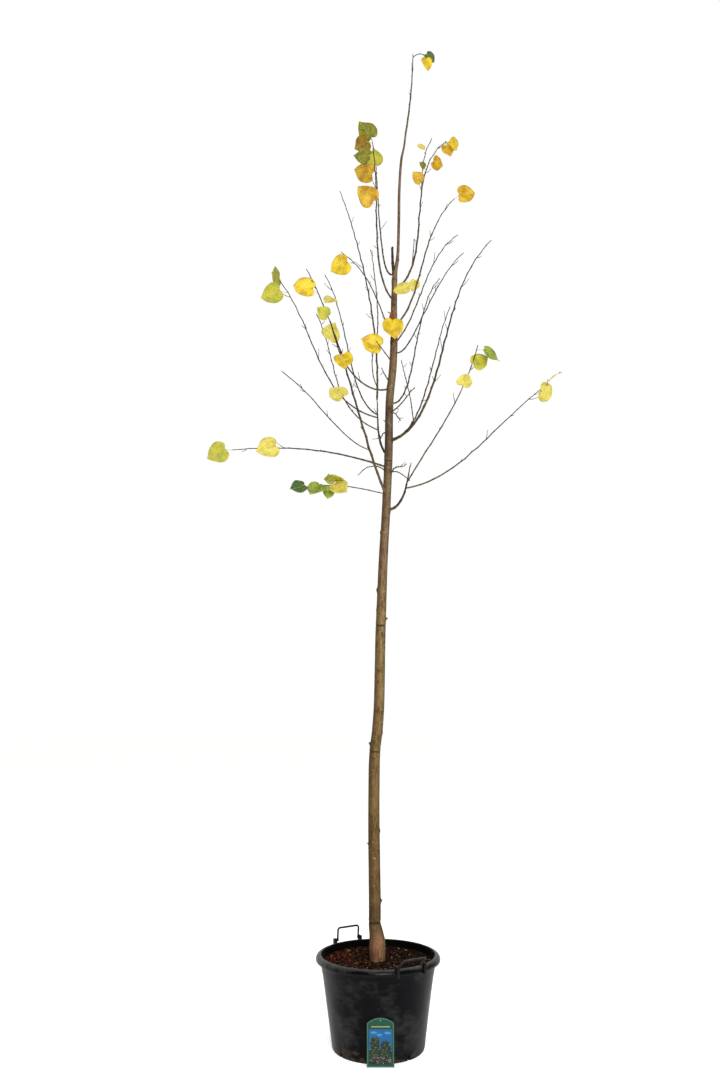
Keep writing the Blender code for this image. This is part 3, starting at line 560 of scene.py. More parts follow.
# %% Trunk features
# Knobs and scars: height, bearing, rise and spread in mm (a negative rise is a pit).
KNOBS = (
    (1.134, 180, 5, 6), (0.793, 4, 3, 7), (0.743, 176, 3.4, 3.5), (0.527, 0, 5.2, 6.5),
    (1.178, -8, 1.8, 8), (1.771, 180, 5, 9), (1.686, 182, 1.4, 8), (1.648, 2, 5.4, 6),
    (0.872, -88, -1.6, 2.6), (1.431, -84, 1.2, 4), (1.32, -92, 1.2, 4), (1.038, -96, 1, 4),
    (1.25, 70, 3.6, 7), (0.96, 128, 3, 6), (1.56, 100, 3.4, 7), (0.66, 60, 2.6, 6),
    (1.88, 60, 3, 7), (2.02, -168, 3.6, 7), (3.303, 10, 2, 8), (2.577, -60, 1.5, 9),
)
# Rubbed rings left by ties: height, depth of the groove and half its width in mm.
TIES = ((0.4491, 1.2, 4.8), (1.103, 1, 3.4), (1.619, 1, 4.4), (2.338, 0.8, 3))
TIE_RINGS = (-4.8, -3.6, -2.4, -1.2, 0, 1.2, 2.4, 3.6, 4.8)
# Dark patches: height, bearing and spread in mm.
DARK_PATCHES = ((2.577, -75, 9), (2.08, -100, 7), (1.26, -60, 6), (0.872, -88, 3))
print("knobs:", len(KNOBS), "rubbed rings:", len(TIES), "dark patches:", len(DARK_PATCHES))

# %% Trunk mesh
TRUNK_SIDES = 56
RING_SPACING = 6 * MM
TRUNK_SHADE_TOP = 3.4

heights = np.arange(TRUNK_FOOT, TRUNK_TOP, RING_SPACING).tolist() + [TRUNK_TOP]
heights = sorted(heights + [tie[0] + offset * MM for tie in TIES for offset in TIE_RINGS])
angles = np.arange(TRUNK_SIDES) * 2 * pi / TRUNK_SIDES
level_map, angle_map = np.meshgrid(heights, angles, indexing="ij")
# How far the bark stands out, how dark it is marked, and its tone, at each point.
rise, mark, tone_map = np.zeros_like(level_map), np.zeros_like(level_map), np.full_like(level_map, 0.5)


def nearness(height, bearing, spread):
    """How near each point of the trunk is to a feature, from 0 to 1."""
    turn = np.angle(np.exp(1j * (angle_map - radians(bearing))))
    return np.exp(-((level_map - height) ** 2 + (turn * trunk_radius(height)) ** 2) / spread ** 2)


for height, bearing, lift, spread in KNOBS:
    near = nearness(height, bearing, spread * MM)
    rise += lift * MM * near
    mark = np.maximum(mark, 0.45 * (near > 0.35) * near)
for height, depth, half in TIES:
    gap = np.abs(level_map - height - 0.8 * MM * np.sin(2 * angle_map + 5 * height)) / MM
    rise += MM * (0.9 * np.exp(-((gap - half - 2.5) / 2.2) ** 2) - depth * np.exp(-(gap / half) ** 2))
    mark = np.maximum(mark, 0.92 * np.exp(-(gap / half) ** 4))
    tone_map += 0.45 * np.exp(-((gap - half - 6) / 4) ** 2)
for height, bearing, spread in DARK_PATCHES:
    mark = np.maximum(mark, 0.6 * nearness(height, bearing, spread * MM))
for name, limb in limbs.items():
    if limb.parent == "trunk":
        foot, bearing = LIMBS[name][1], LIMBS[name][2] + LIMBS[name][7]
        near = nearness(foot, bearing, 2.2 * limb.root_radius + 4 * MM)
        rise += 0.42 * limb.root_radius * near
        mark = np.maximum(mark, 0.3 * near)
radii = np.array([trunk_radius(height) for height in heights])
for ring, height in enumerate(heights):
    for side, angle in enumerate(angles):
        x, y = cos(angle), sin(angle)
        broad = noise.noise(Vector((x * 1.6, y * 1.6, height * 9)))
        fine = noise.noise(Vector((x * 7, y * 7, height * 16)))
        rise[ring, side] += radii[ring] * (0.02 * broad + 0.009 * fine)
middle = np.array([trunk_point(height) for height in heights])
reach = radii[:, None] + rise
x_map = middle[:, :1] + reach * np.cos(angle_map)
y_map = middle[:, 1:2] + reach * np.sin(angle_map)
share = np.clip((level_map - TRUNK_FOOT) / (TRUNK_SHADE_TOP - TRUNK_FOOT), 0, 1)
trunk_heap = Heap()
trunk_heap.put(np.stack([x_map, y_map, level_map], -1).reshape(-1, 3).tolist(),
               ring_faces(len(heights), TRUNK_SIDES), 0,
               np.stack([mark, share, tone_map], -1).reshape(-1, 3).tolist())
trunk_heap.piece("trunk_with_bark", [trunk_bark], "trunk_bark", ["trunk"], "wear", 60)

# %% [markdown]
# ## Space between the masses
#
# Each limb with its shoots and leaves keeps to its own space. The rule that keeps twigs
# and leaves apart is the same as in the solids: a new twig is dropped where it would
# come within a few millimetres of another limb's wood or leaves.

# %% Free space
SEED = 1123
TWIG_SPACING = 0.16
TWIG_LENGTH = (0.018, 0.052)
TWIG_RADIUS = 0.0013
TWIG_LEAN = 42
CLEARANCE = 0.006
TRUNK_SPOTS = 400
SPOT_STEP = 0.008
SEARCH_REACH = 0.04

# Where wood stands, as point, radius and owner, and where twigs and leaves have been put.
spots, taken = [], []
for name, limb in limbs.items():
    count = max(4, int(limb.length / SPOT_STEP))
    for step in range(count + 1):
        share = step / count
        owner = "bough" if share < limb.bare else mass_of(name)
        spots.append((limb.place(share)[0], limb.radius(share), owner))
for step in range(TRUNK_SPOTS + 1):
    height = TRUNK_FOOT + (TRUNK_TOP - TRUNK_FOOT) * step / TRUNK_SPOTS
    spots.append((trunk_point(height), trunk_radius(height), "trunk"))
wood_tree = KDTree(len(spots))
for index, spot in enumerate(spots):
    wood_tree.insert(spot[0], index)
wood_tree.balance()


def is_free(points, owner):
    """Whether the points keep clear of other limbs' wood, twigs and leaves."""
    for point in points:
        for _, index, distance in wood_tree.find_range(point, SEARCH_REACH):
            if spots[index][2] != owner and distance < spots[index][1] + CLEARANCE:
                return False
        for spot, other in taken:
            if other != owner and (spot - point).length < CLEARANCE:
                return False
    return True


print("spots that hold wood:", len(spots))

# %% [markdown]
# ## Last leaves
#
# Linden leaves are heart shaped, finely toothed and held on long stalks. Late in autumn
# they turn lemon and gold with green left along some veins, then brown at the rim, and
# most have dropped. A leaf is a thin closed shell: rows of points run from the midrib to
# the rim the way the side veins do, and the shell is dished, rippled and bent a little,
# differently for each leaf. A picture on a flat card would look flat from the side.

# %% Leaf table
# limb: share of the limb, bearing, slope of the blade, tilt of its face, length in mm, tint
LEAVES = {
    "level_left": ((1, -180, -30, -20, 95, "lime"), (0.68, -170, -20, -20, 95, "lemon")),
    "thin_left": ((0.7, -50, -30, 20, 85, "lemon"), (0.62, -110, 0, -60, 85, "lime"),
        (0.8, -130, -40, 40, 85, "moss"), (0.98, -150, -20, 20, 70, "green"),
        (0.7, -140, -78, 10, 55, "moss")),
    "mid_left_a": ((0.2, -140, 10, -60, 85, "lemon"), (0.92, 170, -20, -40, 95, "lime"),
        (0.98, 130, 30, -40, 85, "lime")),
    "low_left": ((0.77, -150, 30, 0, 60, "lime"), (0.62, -70, -60, 20, 85, "gold"),
        (0.89, -170, 10, 0, 90, "gold")),
    "mid_left_b": ((0.74, -70, 20, -20, 95, "lemon"),),
    "mid_left_c": ((0.82, -130, -30, 20, 70, "lemon"),),
    "slim_left": ((0.82, 160, -20, -20, 95, "gold"),),
    "leaf_left": ((0.5, -170, 20, 0, 95, "gold"),),
    "front_stub": ((1, -62, -78, 8, 95, "gold"),),
    "top_left_a": ((0.96, -160, 50, 0, 95, "olive"), (0.98, -160, -40, -20, 80, "bronze"),
        (0.88, -170, -10, -60, 75, "olive"), (0.56, -150, 30, -40, 95, "amber")),
    "top_left_b": ((0.9, -100, 40, 20, 80, "lime"), (0.84, -170, 10, -40, 95, "amber")),
    "high_right_d": ((0.28, 170, 0, 20, 75, "lemon"), (0.38, 130, -60, 0, 50, "lemon"),
        (1, 10, 10, -20, 80, "amber")),
    "top_right": ((0.67, -150, 40, 0, 60, "amber"), (0.77, -140, 20, 0, 38, "olive"),
        (0.81, 40, 0, -20, 70, "amber"), (0.97, 0, -70, 40, 65, "amber"),
        (0.99, 50, -10, -20, 70, "gold")),
    "top_right_fork": ((0.82, -170, 20, 20, 38, "lemon"),),
    "low_right_fork": ((0.7, -70, 30, -40, 65, "lemon"), (0.84, 10, 30, 0, 75, "lime"),
        (0.98, 20, -30, 40, 85, "moss")),
    "low_right_long": ((0.9, 40, 0, -20, 95, "lemon"), (0.99, -40, 30, 65, 70, "lemon")),
    "leader_hook": ((0.88, 30, -30, 0, 55, "green"), (1, 50, -70, 40, 60, "gold")),
}
PETIOLE = 0.42
PETIOLE_RADIUS = 0.001
PETIOLE_LIFT = 25
PETIOLE_FORWARD = 0.6
PETIOLE_STEPS = 9
THIN_SIDES = 6
BLADE_DISH = 0.05
BLADE_OUTLINE = ((0, 0), (-0.1, 0.2), (0.04, 0.42), (0.3, 0.49), (0.66, 0.29), (1, 0),)
BLADE_MIDDLE = 0.36
print("leaves:", sum(len(rows) for rows in LEAVES.values()))

# %% Leaf finishes
# Name of the tint, its main colour, the colour of its blotches and how much they cover.
TINTS = {
    "lemon": ("#c8bc55", "#b19f3c", 0.5), "gold": ("#cdb21c", "#ac8a14", 0.48),
    "lime": ("#aaa22d", "#7f8b29", 0.5), "moss": ("#8e992c", "#5f7926", 0.48),
    "green": ("#365424", "#4b652a", 0.5), "olive": ("#766f09", "#455711", 0.48),
    "amber": ("#bb970c", "#96690a", 0.48), "bronze": ("#786606", "#784006", 0.47),
    "rust": ("#8a4518", "#5c2a0c", 0.46),
}
BLOTCH = 32 * MM
# Side veins leave the midrib this far apart and lean this much, in shares of the leaf.
VEIN_STEP = 0.135
VEIN_LEAN = 0.84


def leaf_finish(tint, main, blotch, cover):
    """Leaf tissue in autumn: thin, a little waxy, with pale veins and a brown rim.

    The point value called blade holds the place along the leaf, the place across
    it and the nearness to the rim, each as a share of the leaf.
    """
    # A waxy skin gives a leaf a soft sheen that breaks up over the veins.
    material, add, shader, place = start_material("linden_leaf_" + tint, shine=0.35)
    blade = add("SeparateXYZ", (add("Attribute", attribute_name="blade"), "Vector"))
    clouds = add("TexNoise", place, Scale=1 / BLOTCH, Detail=2, Roughness=0.5)
    spread = add("MapRange", clouds, cover - 0.06, cover + 0.16, 0, 0.95)
    body = add("MixRGB", spread, main, blotch)
    side = add("Math", (blade, "Y"), operation="ABSOLUTE")
    lean = add("Math", side, -VEIN_LEAN, (blade, "X"), operation="MULTIPLY_ADD")
    cycle = add("Math", lean, VEIN_STEP, operation="PINGPONG")
    ribs = add("MapRange", cycle, 0, 0.016, 1, 0)
    midrib = add("MapRange", side, 0.006, 0.02, 1, 0)
    veins = add("Math", ribs, midrib, operation="MAXIMUM")
    veined = add("MixRGB", 0.3, body, add("MixRGB", veins, body, "#c9bb6a"))
    # The brown rim runs in and out every 11 mm, and specks lie 5 mm apart, coarser than real.
    ragged = add("TexNoise", place, Scale=90, Detail=3)
    rim = add("Math", ragged, 0.36, (blade, "Z"), operation="MULTIPLY_ADD")
    browned = add("MapRange", rim, 1.16, 1.27, 0, 0.7)
    rimmed = add("MixRGB", browned, veined, "#7a4a1c")
    specks = add("TexNoise", place, Scale=210, Detail=2)
    speckled = add("MixRGB", add("MapRange", specks, 0.73, 0.78, 0, 0.6), rimmed, "#5a3616")
    join(shader, Base_Color=speckled, Normal=add("Bump", Height=veins, Strength=0.5, Distance=0.5 * MM))
    return material


leaf_materials = [leaf_finish(tint, *row) for tint, row in TINTS.items()]
print("leaf finishes:", len(leaf_materials))

# %% Leaf blade
HALF_OUTLINE = (
    (0, 0), (-0.055, 0.07), (-0.1, 0.2), (-0.06, 0.33), (0.05, 0.43), (0.17, 0.478),
    (0.31, 0.485), (0.46, 0.455), (0.6, 0.385), (0.72, 0.29), (0.82, 0.18), (0.89, 0.085),
    (0.96, 0),
)
BLADE_ROWS = 36
BLADE_COLUMNS = 5
BLADE_THICK = 0.5 * MM
TOOTH = 0.016
NOTCH = -0.012
# Without a seed, noise that gives a vector would differ from run to run.
noise.seed_set(SEED)


def through(corners, count):
    """Points spread evenly in parameter on a smooth curve through the corners."""
    padded = [np.array(corner, float) for corner in (corners[0], *corners, corners[-1])]
    result = []
    for step in range(count):
        t = step / (count - 1) * (len(corners) - 1)
        index = min(int(t), len(corners) - 2)
        t -= index
        a, b, c, d = padded[index:index + 4]
        result.append((0.5 * (2 * b + (c - a) * t + (2 * a - 5 * b + 4 * c - d) * t ** 2
                              + (3 * b - a - 3 * c + d) * t ** 3)).tolist())
    return result


rim_points = through(HALF_OUTLINE, BLADE_ROWS)
print("points on half a leaf's rim:", len(rim_points))


def leaf_shell(base, along, across, normal, size, dice):
    """Points, faces and blade values of one leaf, bent in its own way."""
    droop, ripple = dice.uniform(-0.1, 0.48), dice.uniform(0.02, 0.06)
    fold, phase = dice.uniform(0.8, 2.4), dice.uniform(0, 6.3)
    twist, waves = dice.uniform(-0.3, 0.3), dice.uniform(7, 14)
    skew, seat = dice.uniform(-0.07, 0.07), Vector((dice.uniform(0, 9), 0, 0))
    sheet, values = [], []
    for sign in (-1, 1):
        for row, (u, v) in enumerate(rim_points):
            share = row / (BLADE_ROWS - 1)
            tooth = 1 + (TOOTH if row % 2 else NOTCH) * (0 < row < BLADE_ROWS - 1)
            # The row starts on the midrib, where its side vein leaves it.
            root = 1 if share == 1 else min(max(u - VEIN_LEAN * v, 0.02 * share), 1)
            hollow = sin(pi * min(1, max(0, root + 0.12)))
            for column in range(BLADE_COLUMNS + 1):
                s = column / BLADE_COLUMNS
                x = root + (u * tooth - root) * s
                y = v * tooth * s * sign
                dish = -BLADE_DISH * fold * (1 - s ** 1.4) * hollow
                vein = abs(sin(pi * (x - VEIN_LEAN * abs(y)) / VEIN_STEP))
                puff = 0.016 * vein * s * (1 - s) * 4
                wave = ripple * s * s * sin(waves * share + phase + 1.4 * sign)
                bend = -droop * max(0, x - 0.35) ** 2 + twist * y * x
                z = dish + 0.5 * puff + wave + bend
                worn = 0.05 * s * noise.noise_vector(seat + Vector((2.2 * x, 2.2 * y, 0)))
                sheet.append(base + size * ((x + worn.x) * along + z * normal
                                            + (y + worn.y + skew * x * (1 - x)) * across))
                values.append((x, y, s))
    count, width = len(sheet), BLADE_COLUMNS + 1
    faces = []
    for start in range(0, count, width):
        if start // width % BLADE_ROWS == BLADE_ROWS - 1:
            continue
        turn = 1 if start >= count // 2 else -1
        for a in range(start, start + BLADE_COLUMNS):
            top = (a, a + 1, a + width + 1, a + width)[::turn]
            faces += [top, tuple(corner + count for corner in top[::-1])]
        a = start + BLADE_COLUMNS
        faces.append((a, a + count, a + width + count, a + width)[::turn])
    return sheet + [point - BLADE_THICK * normal for point in sheet], faces, values + values


# %% Leaves and their stalks
leaf_heap, stalk_heap = Heap(), Heap()


def grow_leaf(limb, leaf, number):
    """Put a leaf and its stalk in place, and give the points that its space is judged by."""
    share, bearing, hang, tilt, size, tint = leaf
    size /= 1000
    node = limb.place(share)[0]
    way = heading(bearing, min(hang + PETIOLE_LIFT, 75))
    way = (way + PETIOLE_FORWARD * heading(FRONT, 0)).normalized()
    along = heading(bearing, hang)
    base = node + PETIOLE * size * way
    facing = heading(FRONT, tilt) + 0.02 * heading(bearing, 0)
    normal = (facing - along * facing.dot(along)).normalized()
    across = normal.cross(along)
    points, faces, values = leaf_shell(base, along, across, normal, size, random.Random(SEED * 31 + number))
    leaf_heap.put(points, faces, list(TINTS).index(tint), values)

    end = base + size * (0.1 * along - 0.2 * BLADE_DISH * normal)
    sag = Vector((0, 0, -0.03 * size))
    line, last = [], PETIOLE_STEPS - 1
    for step in range(PETIOLE_STEPS):
        t = step / last
        straight = node.lerp(base, min(1, t * 1.2)) if t < 0.84 else base.lerp(end, (t - 0.84) / 0.16)
        line.append(straight + sag * sin(pi * min(1, t * 1.2)))
    radii = [PETIOLE_RADIUS * (1.35 if step in (0, last - 1) else 0.95) for step in range(PETIOLE_STEPS)]
    stalk_heap.put(*tube(line, radii, THIN_SIDES, courses(line)))

    rim = [base + size * (u * along + v * across) for u, v in BLADE_OUTLINE]
    rim += [base + size * (u * along - v * across) for u, v in reversed(BLADE_OUTLINE[1:-1])]
    middle = base + size * (BLADE_MIDDLE * along - BLADE_DISH * normal)
    guide = [base.lerp(corner, part) for corner in rim for part in (0.5, 1)]
    return guide + [node.lerp(base, 0.5), base, middle]


# %% [markdown]
# ## Boughs, whips and side twigs
#
# A whip is a long smooth shoot that bends a little at each bud, so it runs in a faint
# zigzag, and it thickens at the buds. Blender's Skin modifier could dress a line drawing
# of it, but rings laid along the limb's curve give exact control of the taper. Side
# twigs come from the same seeded rule as in the solids, then shorter spurs and buds are
# added at the nodes in between.

# %% Limb surface
LIMB_SIDES = 10
RING_STEP = 9 * MM
NODE_SPACING = (0.03, 0.046)
NODE_HALF_WIDTH = 2.6 * MM
KINK = 2.4 * MM
BUD_LENGTH = 7 * MM
FOOT_DARK, FOOT_LENGTH = 0.35, 0.02


def lay_nodes(limb, dice):
    """Where the buds sit along a limb, and how far each pushes the shoot sideways."""
    nodes, at, sign = [(0, 0, 0)], 0.04, 1
    while at < limb.length:
        kink = KINK * min(1, at / 0.25)
        nodes.append((at, sign * kink * dice.uniform(0.5, 1.2), kink * dice.uniform(-0.5, 0.5)))
        at += dice.uniform(*NODE_SPACING)
        sign = -sign
    return nodes + [(limb.length + 0.001, 0, 0)]


def shoot_point(limb, nodes, share):
    """A point of the real shoot: the limb's curve pushed aside between its nodes."""
    point, direction = limb.place(share)
    at = share * limb.length
    index = max(i for i in range(len(nodes) - 1) if nodes[i][0] <= at)
    low, high = nodes[index], nodes[index + 1]
    t = (at - low[0]) / (high[0] - low[0])
    across, other = frame_at(direction)
    return point + across * (low[1] + (high[1] - low[1]) * t) + other * (low[2] + (high[2] - low[2]) * t)


def shoot_radius(limb, nodes, share):
    """Thickness with a swelling at each node and a faint unevenness."""
    at = share * limb.length
    near = min([abs(at - node[0]) for node in nodes[1:-1]] or [1])
    swell = (1.05 + 0.23 * share) * (1 + 0.24 * exp(-(near / NODE_HALF_WIDTH) ** 2))
    uneven = 1 + 0.04 * noise.noise(Vector((at * 60, limb.root_radius * 900, 0)))
    return limb.radius(share) * swell * uneven


bough_heap, shoot_heap, bud_heap = Heap(), Heap(), Heap()
limb_nodes, limb_tones = {}, {}
for number, (name, limb) in enumerate(limbs.items()):
    dice = random.Random(SEED * 7 + number)
    nodes = limb_nodes[name] = lay_nodes(limb, dice)
    tone = limb_tones[name] = dice.random()
    count = max(6, ceil(limb.length / RING_STEP))
    shares = sorted({step / count for step in range(count + 1)}
                    | {node[0] / limb.length for node in nodes[1:-1]} | {limb.bare})
    for heap, part in ((bough_heap, [share for share in shares if share <= limb.bare]),
                       (shoot_heap, [share for share in shares if share >= limb.bare])):
        if len(part) < 2:
            continue
        ways = [limb.place(share)[1] for share in part]
        if limb.parent == "tip":
            ways[0] = UP
        # The bark is darker over the 20 mm where a shoot leaves the wood.
        heap.put(*tube([shoot_point(limb, nodes, share) for share in part],
                       [shoot_radius(limb, nodes, share) for share in part], LIMB_SIDES, ways), 0,
                 [(FOOT_DARK * exp(-share * limb.length / FOOT_LENGTH), share, tone)
                  for share in part for _ in range(LIMB_SIDES)])
print("points of wood:", len(bough_heap.points) + len(shoot_heap.points))


# %% Buds
# Lengthwise share and thickness of a bud from its foot to its tip.
BUD_PROFILE = ((0, 0.3), (0.22, 0.82), (0.46, 1), (0.74, 0.66), (0.93, 0.26), (1, 0.06))
BUD_THICKNESS = 0.27


def skin(name, scale, stops, *gloss):
    """A smooth living skin whose colour wanders from place to place."""
    material, add, shader, place = start_material(name, *gloss)
    flush = add("TexNoise", place, Scale=scale, Detail=2)
    join(shader, Base_Color=add("ValToRGB", flush, stops=stops))
    return material


def add_bud(point, way, lean, length):
    """An egg-shaped bud, leaning off the shoot at a node."""
    tip = (way + 0.55 * lean).normalized()
    line = [point + length * part * tip for part, _ in BUD_PROFILE]
    radii = [BUD_THICKNESS * length * thick for _, thick in BUD_PROFILE]
    bud_heap.put(*tube(line, radii, THIN_SIDES, [tip] * len(line)))


# Two or three smooth, waxy scales wrap a linden bud, red-brown where the sun meets them.
# Their colour wanders over 4 mm, and that of a stalk over 17 mm.
bud_scales = skin("linden_bud_scales", 260, ((0.3, "#4a2c1e"), (0.55, "#6a3a24"), (0.8, "#7a5a30")),
                  0.38, 1.47, 0.55)
# A leaf stalk is smooth and green yellow, flushed red where it joins the shoot.
stalk_skin = skin("leaf_stalk_skin", 60, ((0.35, "#a8622c"), (0.5, "#b59a34"), (0.7, "#98a03a")), 0.45)
print("skins:", bud_scales.name, stalk_skin.name)


# %% Side twigs
def grow_twig(limb, share, dice, lengths, thick, bare):
    """Grow a twig with two buds if there is room for it, and say whether it grew."""
    foot, direction = limb.place(share)
    side = frame_at(direction)[0]
    side = Matrix.Rotation(dice.uniform(0, 2 * pi), 3, direction) @ side
    lean = radians(TWIG_LEAN * dice.uniform(0.8, 1.2))
    way = (cos(lean) * direction + sin(lean) * side).normalized()
    length = dice.uniform(*lengths)
    bend = (way + 0.35 * UP).normalized()
    middle = foot + 0.5 * length * way
    tip = middle + 0.5 * length * bend
    owner = mass_of(limb.name)
    if share <= bare or not is_free((middle, tip), owner):
        return False
    turning = (way + bend).normalized()
    points, faces = tube([foot, foot.lerp(middle, 0.5), middle, middle.lerp(tip, 0.5), tip],
                         [thick * 1.45, thick, thick * 1.12, thick * 0.86, thick * 0.78],
                         THIN_SIDES, [way, way, turning, bend, bend])
    shoot_heap.put(points, faces, 0, [(0, 1, limb_tones[limb.name])] * len(points))
    side = frame_at(turning, (0.2, 0.5, 0.8))[0]
    add_bud(middle + 0.5 * thick * side, turning, side, 0.75 * BUD_LENGTH)
    add_bud(tip, bend, Vector(), 0.95 * BUD_LENGTH)
    taken.extend([(middle, owner), (tip, owner)])
    return True


print("shortest and longest side twig:", TWIG_LENGTH, "m")

# %% Twigs and leaves of every mass
owners = [name for name, limb in limbs.items() if limb.parent not in LIMBS and limb.bare < 1]
twig_count = leaf_number = 0
for owner in owners:
    dice = random.Random(SEED + list(LIMBS).index(owner))
    members = [limb for name, limb in limbs.items() if mass_of(name) == owner]
    for limb in members:
        for leaf in LEAVES.get(limb.name, ()):
            leaf_number += 1
            taken += [(point, owner) for point in grow_leaf(limb, leaf, leaf_number)]
    for limb in members:
        reach = limb.length * (1 - max(limb.bare, 0.12))
        for number in range(int(reach / TWIG_SPACING)):
            share = 1 - (number + dice.uniform(0.35, 0.75)) * TWIG_SPACING / limb.length
            twig_count += grow_twig(limb, share, dice, TWIG_LENGTH, TWIG_RADIUS, limb.bare + 0.06)
print("side twigs:", twig_count, "leaves:", leaf_number)

# %% Withered leaf
# It still clings to the front of the trunk.
WITHERED_HEIGHT = 3.01
WITHERED_LENGTH = 34 * MM
WITHERED_GAP = 2 * MM
away = trunk_radius(WITHERED_HEIGHT) + WITHERED_GAP
along = heading(-160, 78)
normal = frame_at(along, heading(-135, 0))[0]
points, faces, values = leaf_shell(trunk_point(WITHERED_HEIGHT) + away * heading(-120, 0), along,
                                   normal.cross(along), normal, WITHERED_LENGTH, random.Random(SEED * 31))
leaf_heap.put(points, faces, list(TINTS).index("rust"), values)
print("points of leaves:", len(leaf_heap.points))

# %% Spurs and buds
SPUR_SHARE = 0.05
SPUR_LENGTH = (0.01, 0.024)
SPUR_RADIUS = 0.85 * TWIG_RADIUS
spur_count = 0
for number, (name, limb) in enumerate(limbs.items()):
    dice = random.Random(SEED * 13 + number)
    nodes, sign = limb_nodes[name], 1
    for at, _, _ in nodes[1:-1]:
        share, sign = at / limb.length, -sign
        # No bud sits close to where a shoot starts.
        if share < limb.bare + 0.05 or at < 0.05:
            continue
        direction = limb.place(share)[1]
        across, other = frame_at(direction)
        side = (sign * across + dice.uniform(-0.5, 0.5) * other).normalized()
        if dice.random() < SPUR_SHARE and grow_twig(limb, share, dice, SPUR_LENGTH, SPUR_RADIUS, 0):
            spur_count += 1
            continue
        start = shoot_point(limb, nodes, share) + 0.6 * limb.radius(share) * side
        add_bud(start, direction, side, BUD_LENGTH * dice.uniform(0.8, 1.15))
    if limb.bare < 1:
        tip, direction = limb.place(1)
        add_bud(tip - MM * direction, direction, Vector(), 1.2 * BUD_LENGTH)
print("spurs:", spur_count)

# %% Wood pieces
bough_nodes = [node for node in frame["nodes"] if node.startswith("bough_")]
twig_nodes = [node for node in frame["nodes"] if node.startswith("twigs_")]
bough_heap.piece("boughs_with_bark", [shoot_bark], "bough_bark", bough_nodes, "wear")
shoot_heap.piece("whips_and_twigs", [shoot_bark], "twigs_and_leaves", twig_nodes, "wear")
bud_heap.piece("buds", [bud_scales], "twigs_and_leaves")
leaf_heap.piece("leaves", leaf_materials, "twigs_and_leaves", value_name="blade")
stalk_heap.piece("leaf_stalks", [stalk_skin], "twigs_and_leaves")

# %% [markdown]
# ## Stubs on the trunk
#
# Where shoots were snapped or cut off, short stubs are left, dark and rough at the end.
# They are small tubes with a jagged last ring, sunk a little into the bark.

# %% Broken stubs
# Height, bearing, slope, length and thickness in mm.
STUBS = ((3.036, 192, 28, 16, 4.6), (1.648, 2, 18, 8, 6), (1.134, 180, 30, 6.5, 6),
         (0.527, 0, 25, 7, 6), (0.743, 176, 10, 7, 3), (2.66, 60, 30, 14, 4),
         (2.52, 200, 20, 9, 4.4), (2.98, 40, 25, 10, 4.6), (1.25, 70, 24, 6, 6))
STUB_SIDES = 9
SUNK = 3 * MM
shares = (0, 0.3, 0.6, 0.85, 1)
stub_heap = Heap()
dice = random.Random(SEED * 3)
for height, bearing, slope, length, thick in STUBS:
    way = heading(bearing, slope)
    foot = trunk_point(height) + (trunk_radius(height) - SUNK) * heading(bearing, 0)
    line = [foot + (length * MM + SUNK) * share * way for share in shares]
    radii = [0.5 * MM * thick * (1.35 - 0.45 * share) for share in shares]
    points, faces = tube(line, radii, STUB_SIDES, [way] * len(line))
    for corner in range(-STUB_SIDES, 0):
        points[corner] = points[corner] + dice.uniform(-0.9, 0.9) * MM * way
    dark = [0.15] * (len(points) - STUB_SIDES) + [0.9] * STUB_SIDES
    stub_heap.put(points, faces, 0, [(mark, 0.5, 0.3) for mark in dark])
stub_heap.piece("pruned_stubs", [trunk_bark], "trunk_bark", value_name="wear", sharp=50)

# %% [markdown]
# ## Nursery pot
#
# The pot is moulded from black polypropylene, thin and slightly flexible, with a rolled
# rim to lift it by and drain slots round its foot. It could be a Screw modifier on a
# profile; turning the profile in code lets the wall take a little unevenness on the way.
# The slots are then cut right through the wall.

# %% Pot sizes
FOOT_RADIUS = 0.1776
WALL_SLOPE = 0.1437
WALL = 0.003
FLOOR = 0.004
RIM_LOW = 0.3115
RIM_TOP = 0.3345
RIM_RADIUS = 0.2438
SLOTS = 8
SLOT_FIRST = -142
SLOT_WIDTH = 0.009
SLOT_HEIGHT = 0.018
GAP = 0.0003
print("pot rim: %.3f m wide, %.4f m high" % (2 * RIM_RADIUS, RIM_TOP))

# %% Black plastics
# How fast splashed soil thins out up the wall, per metre.
SPLASH_FALL = 4


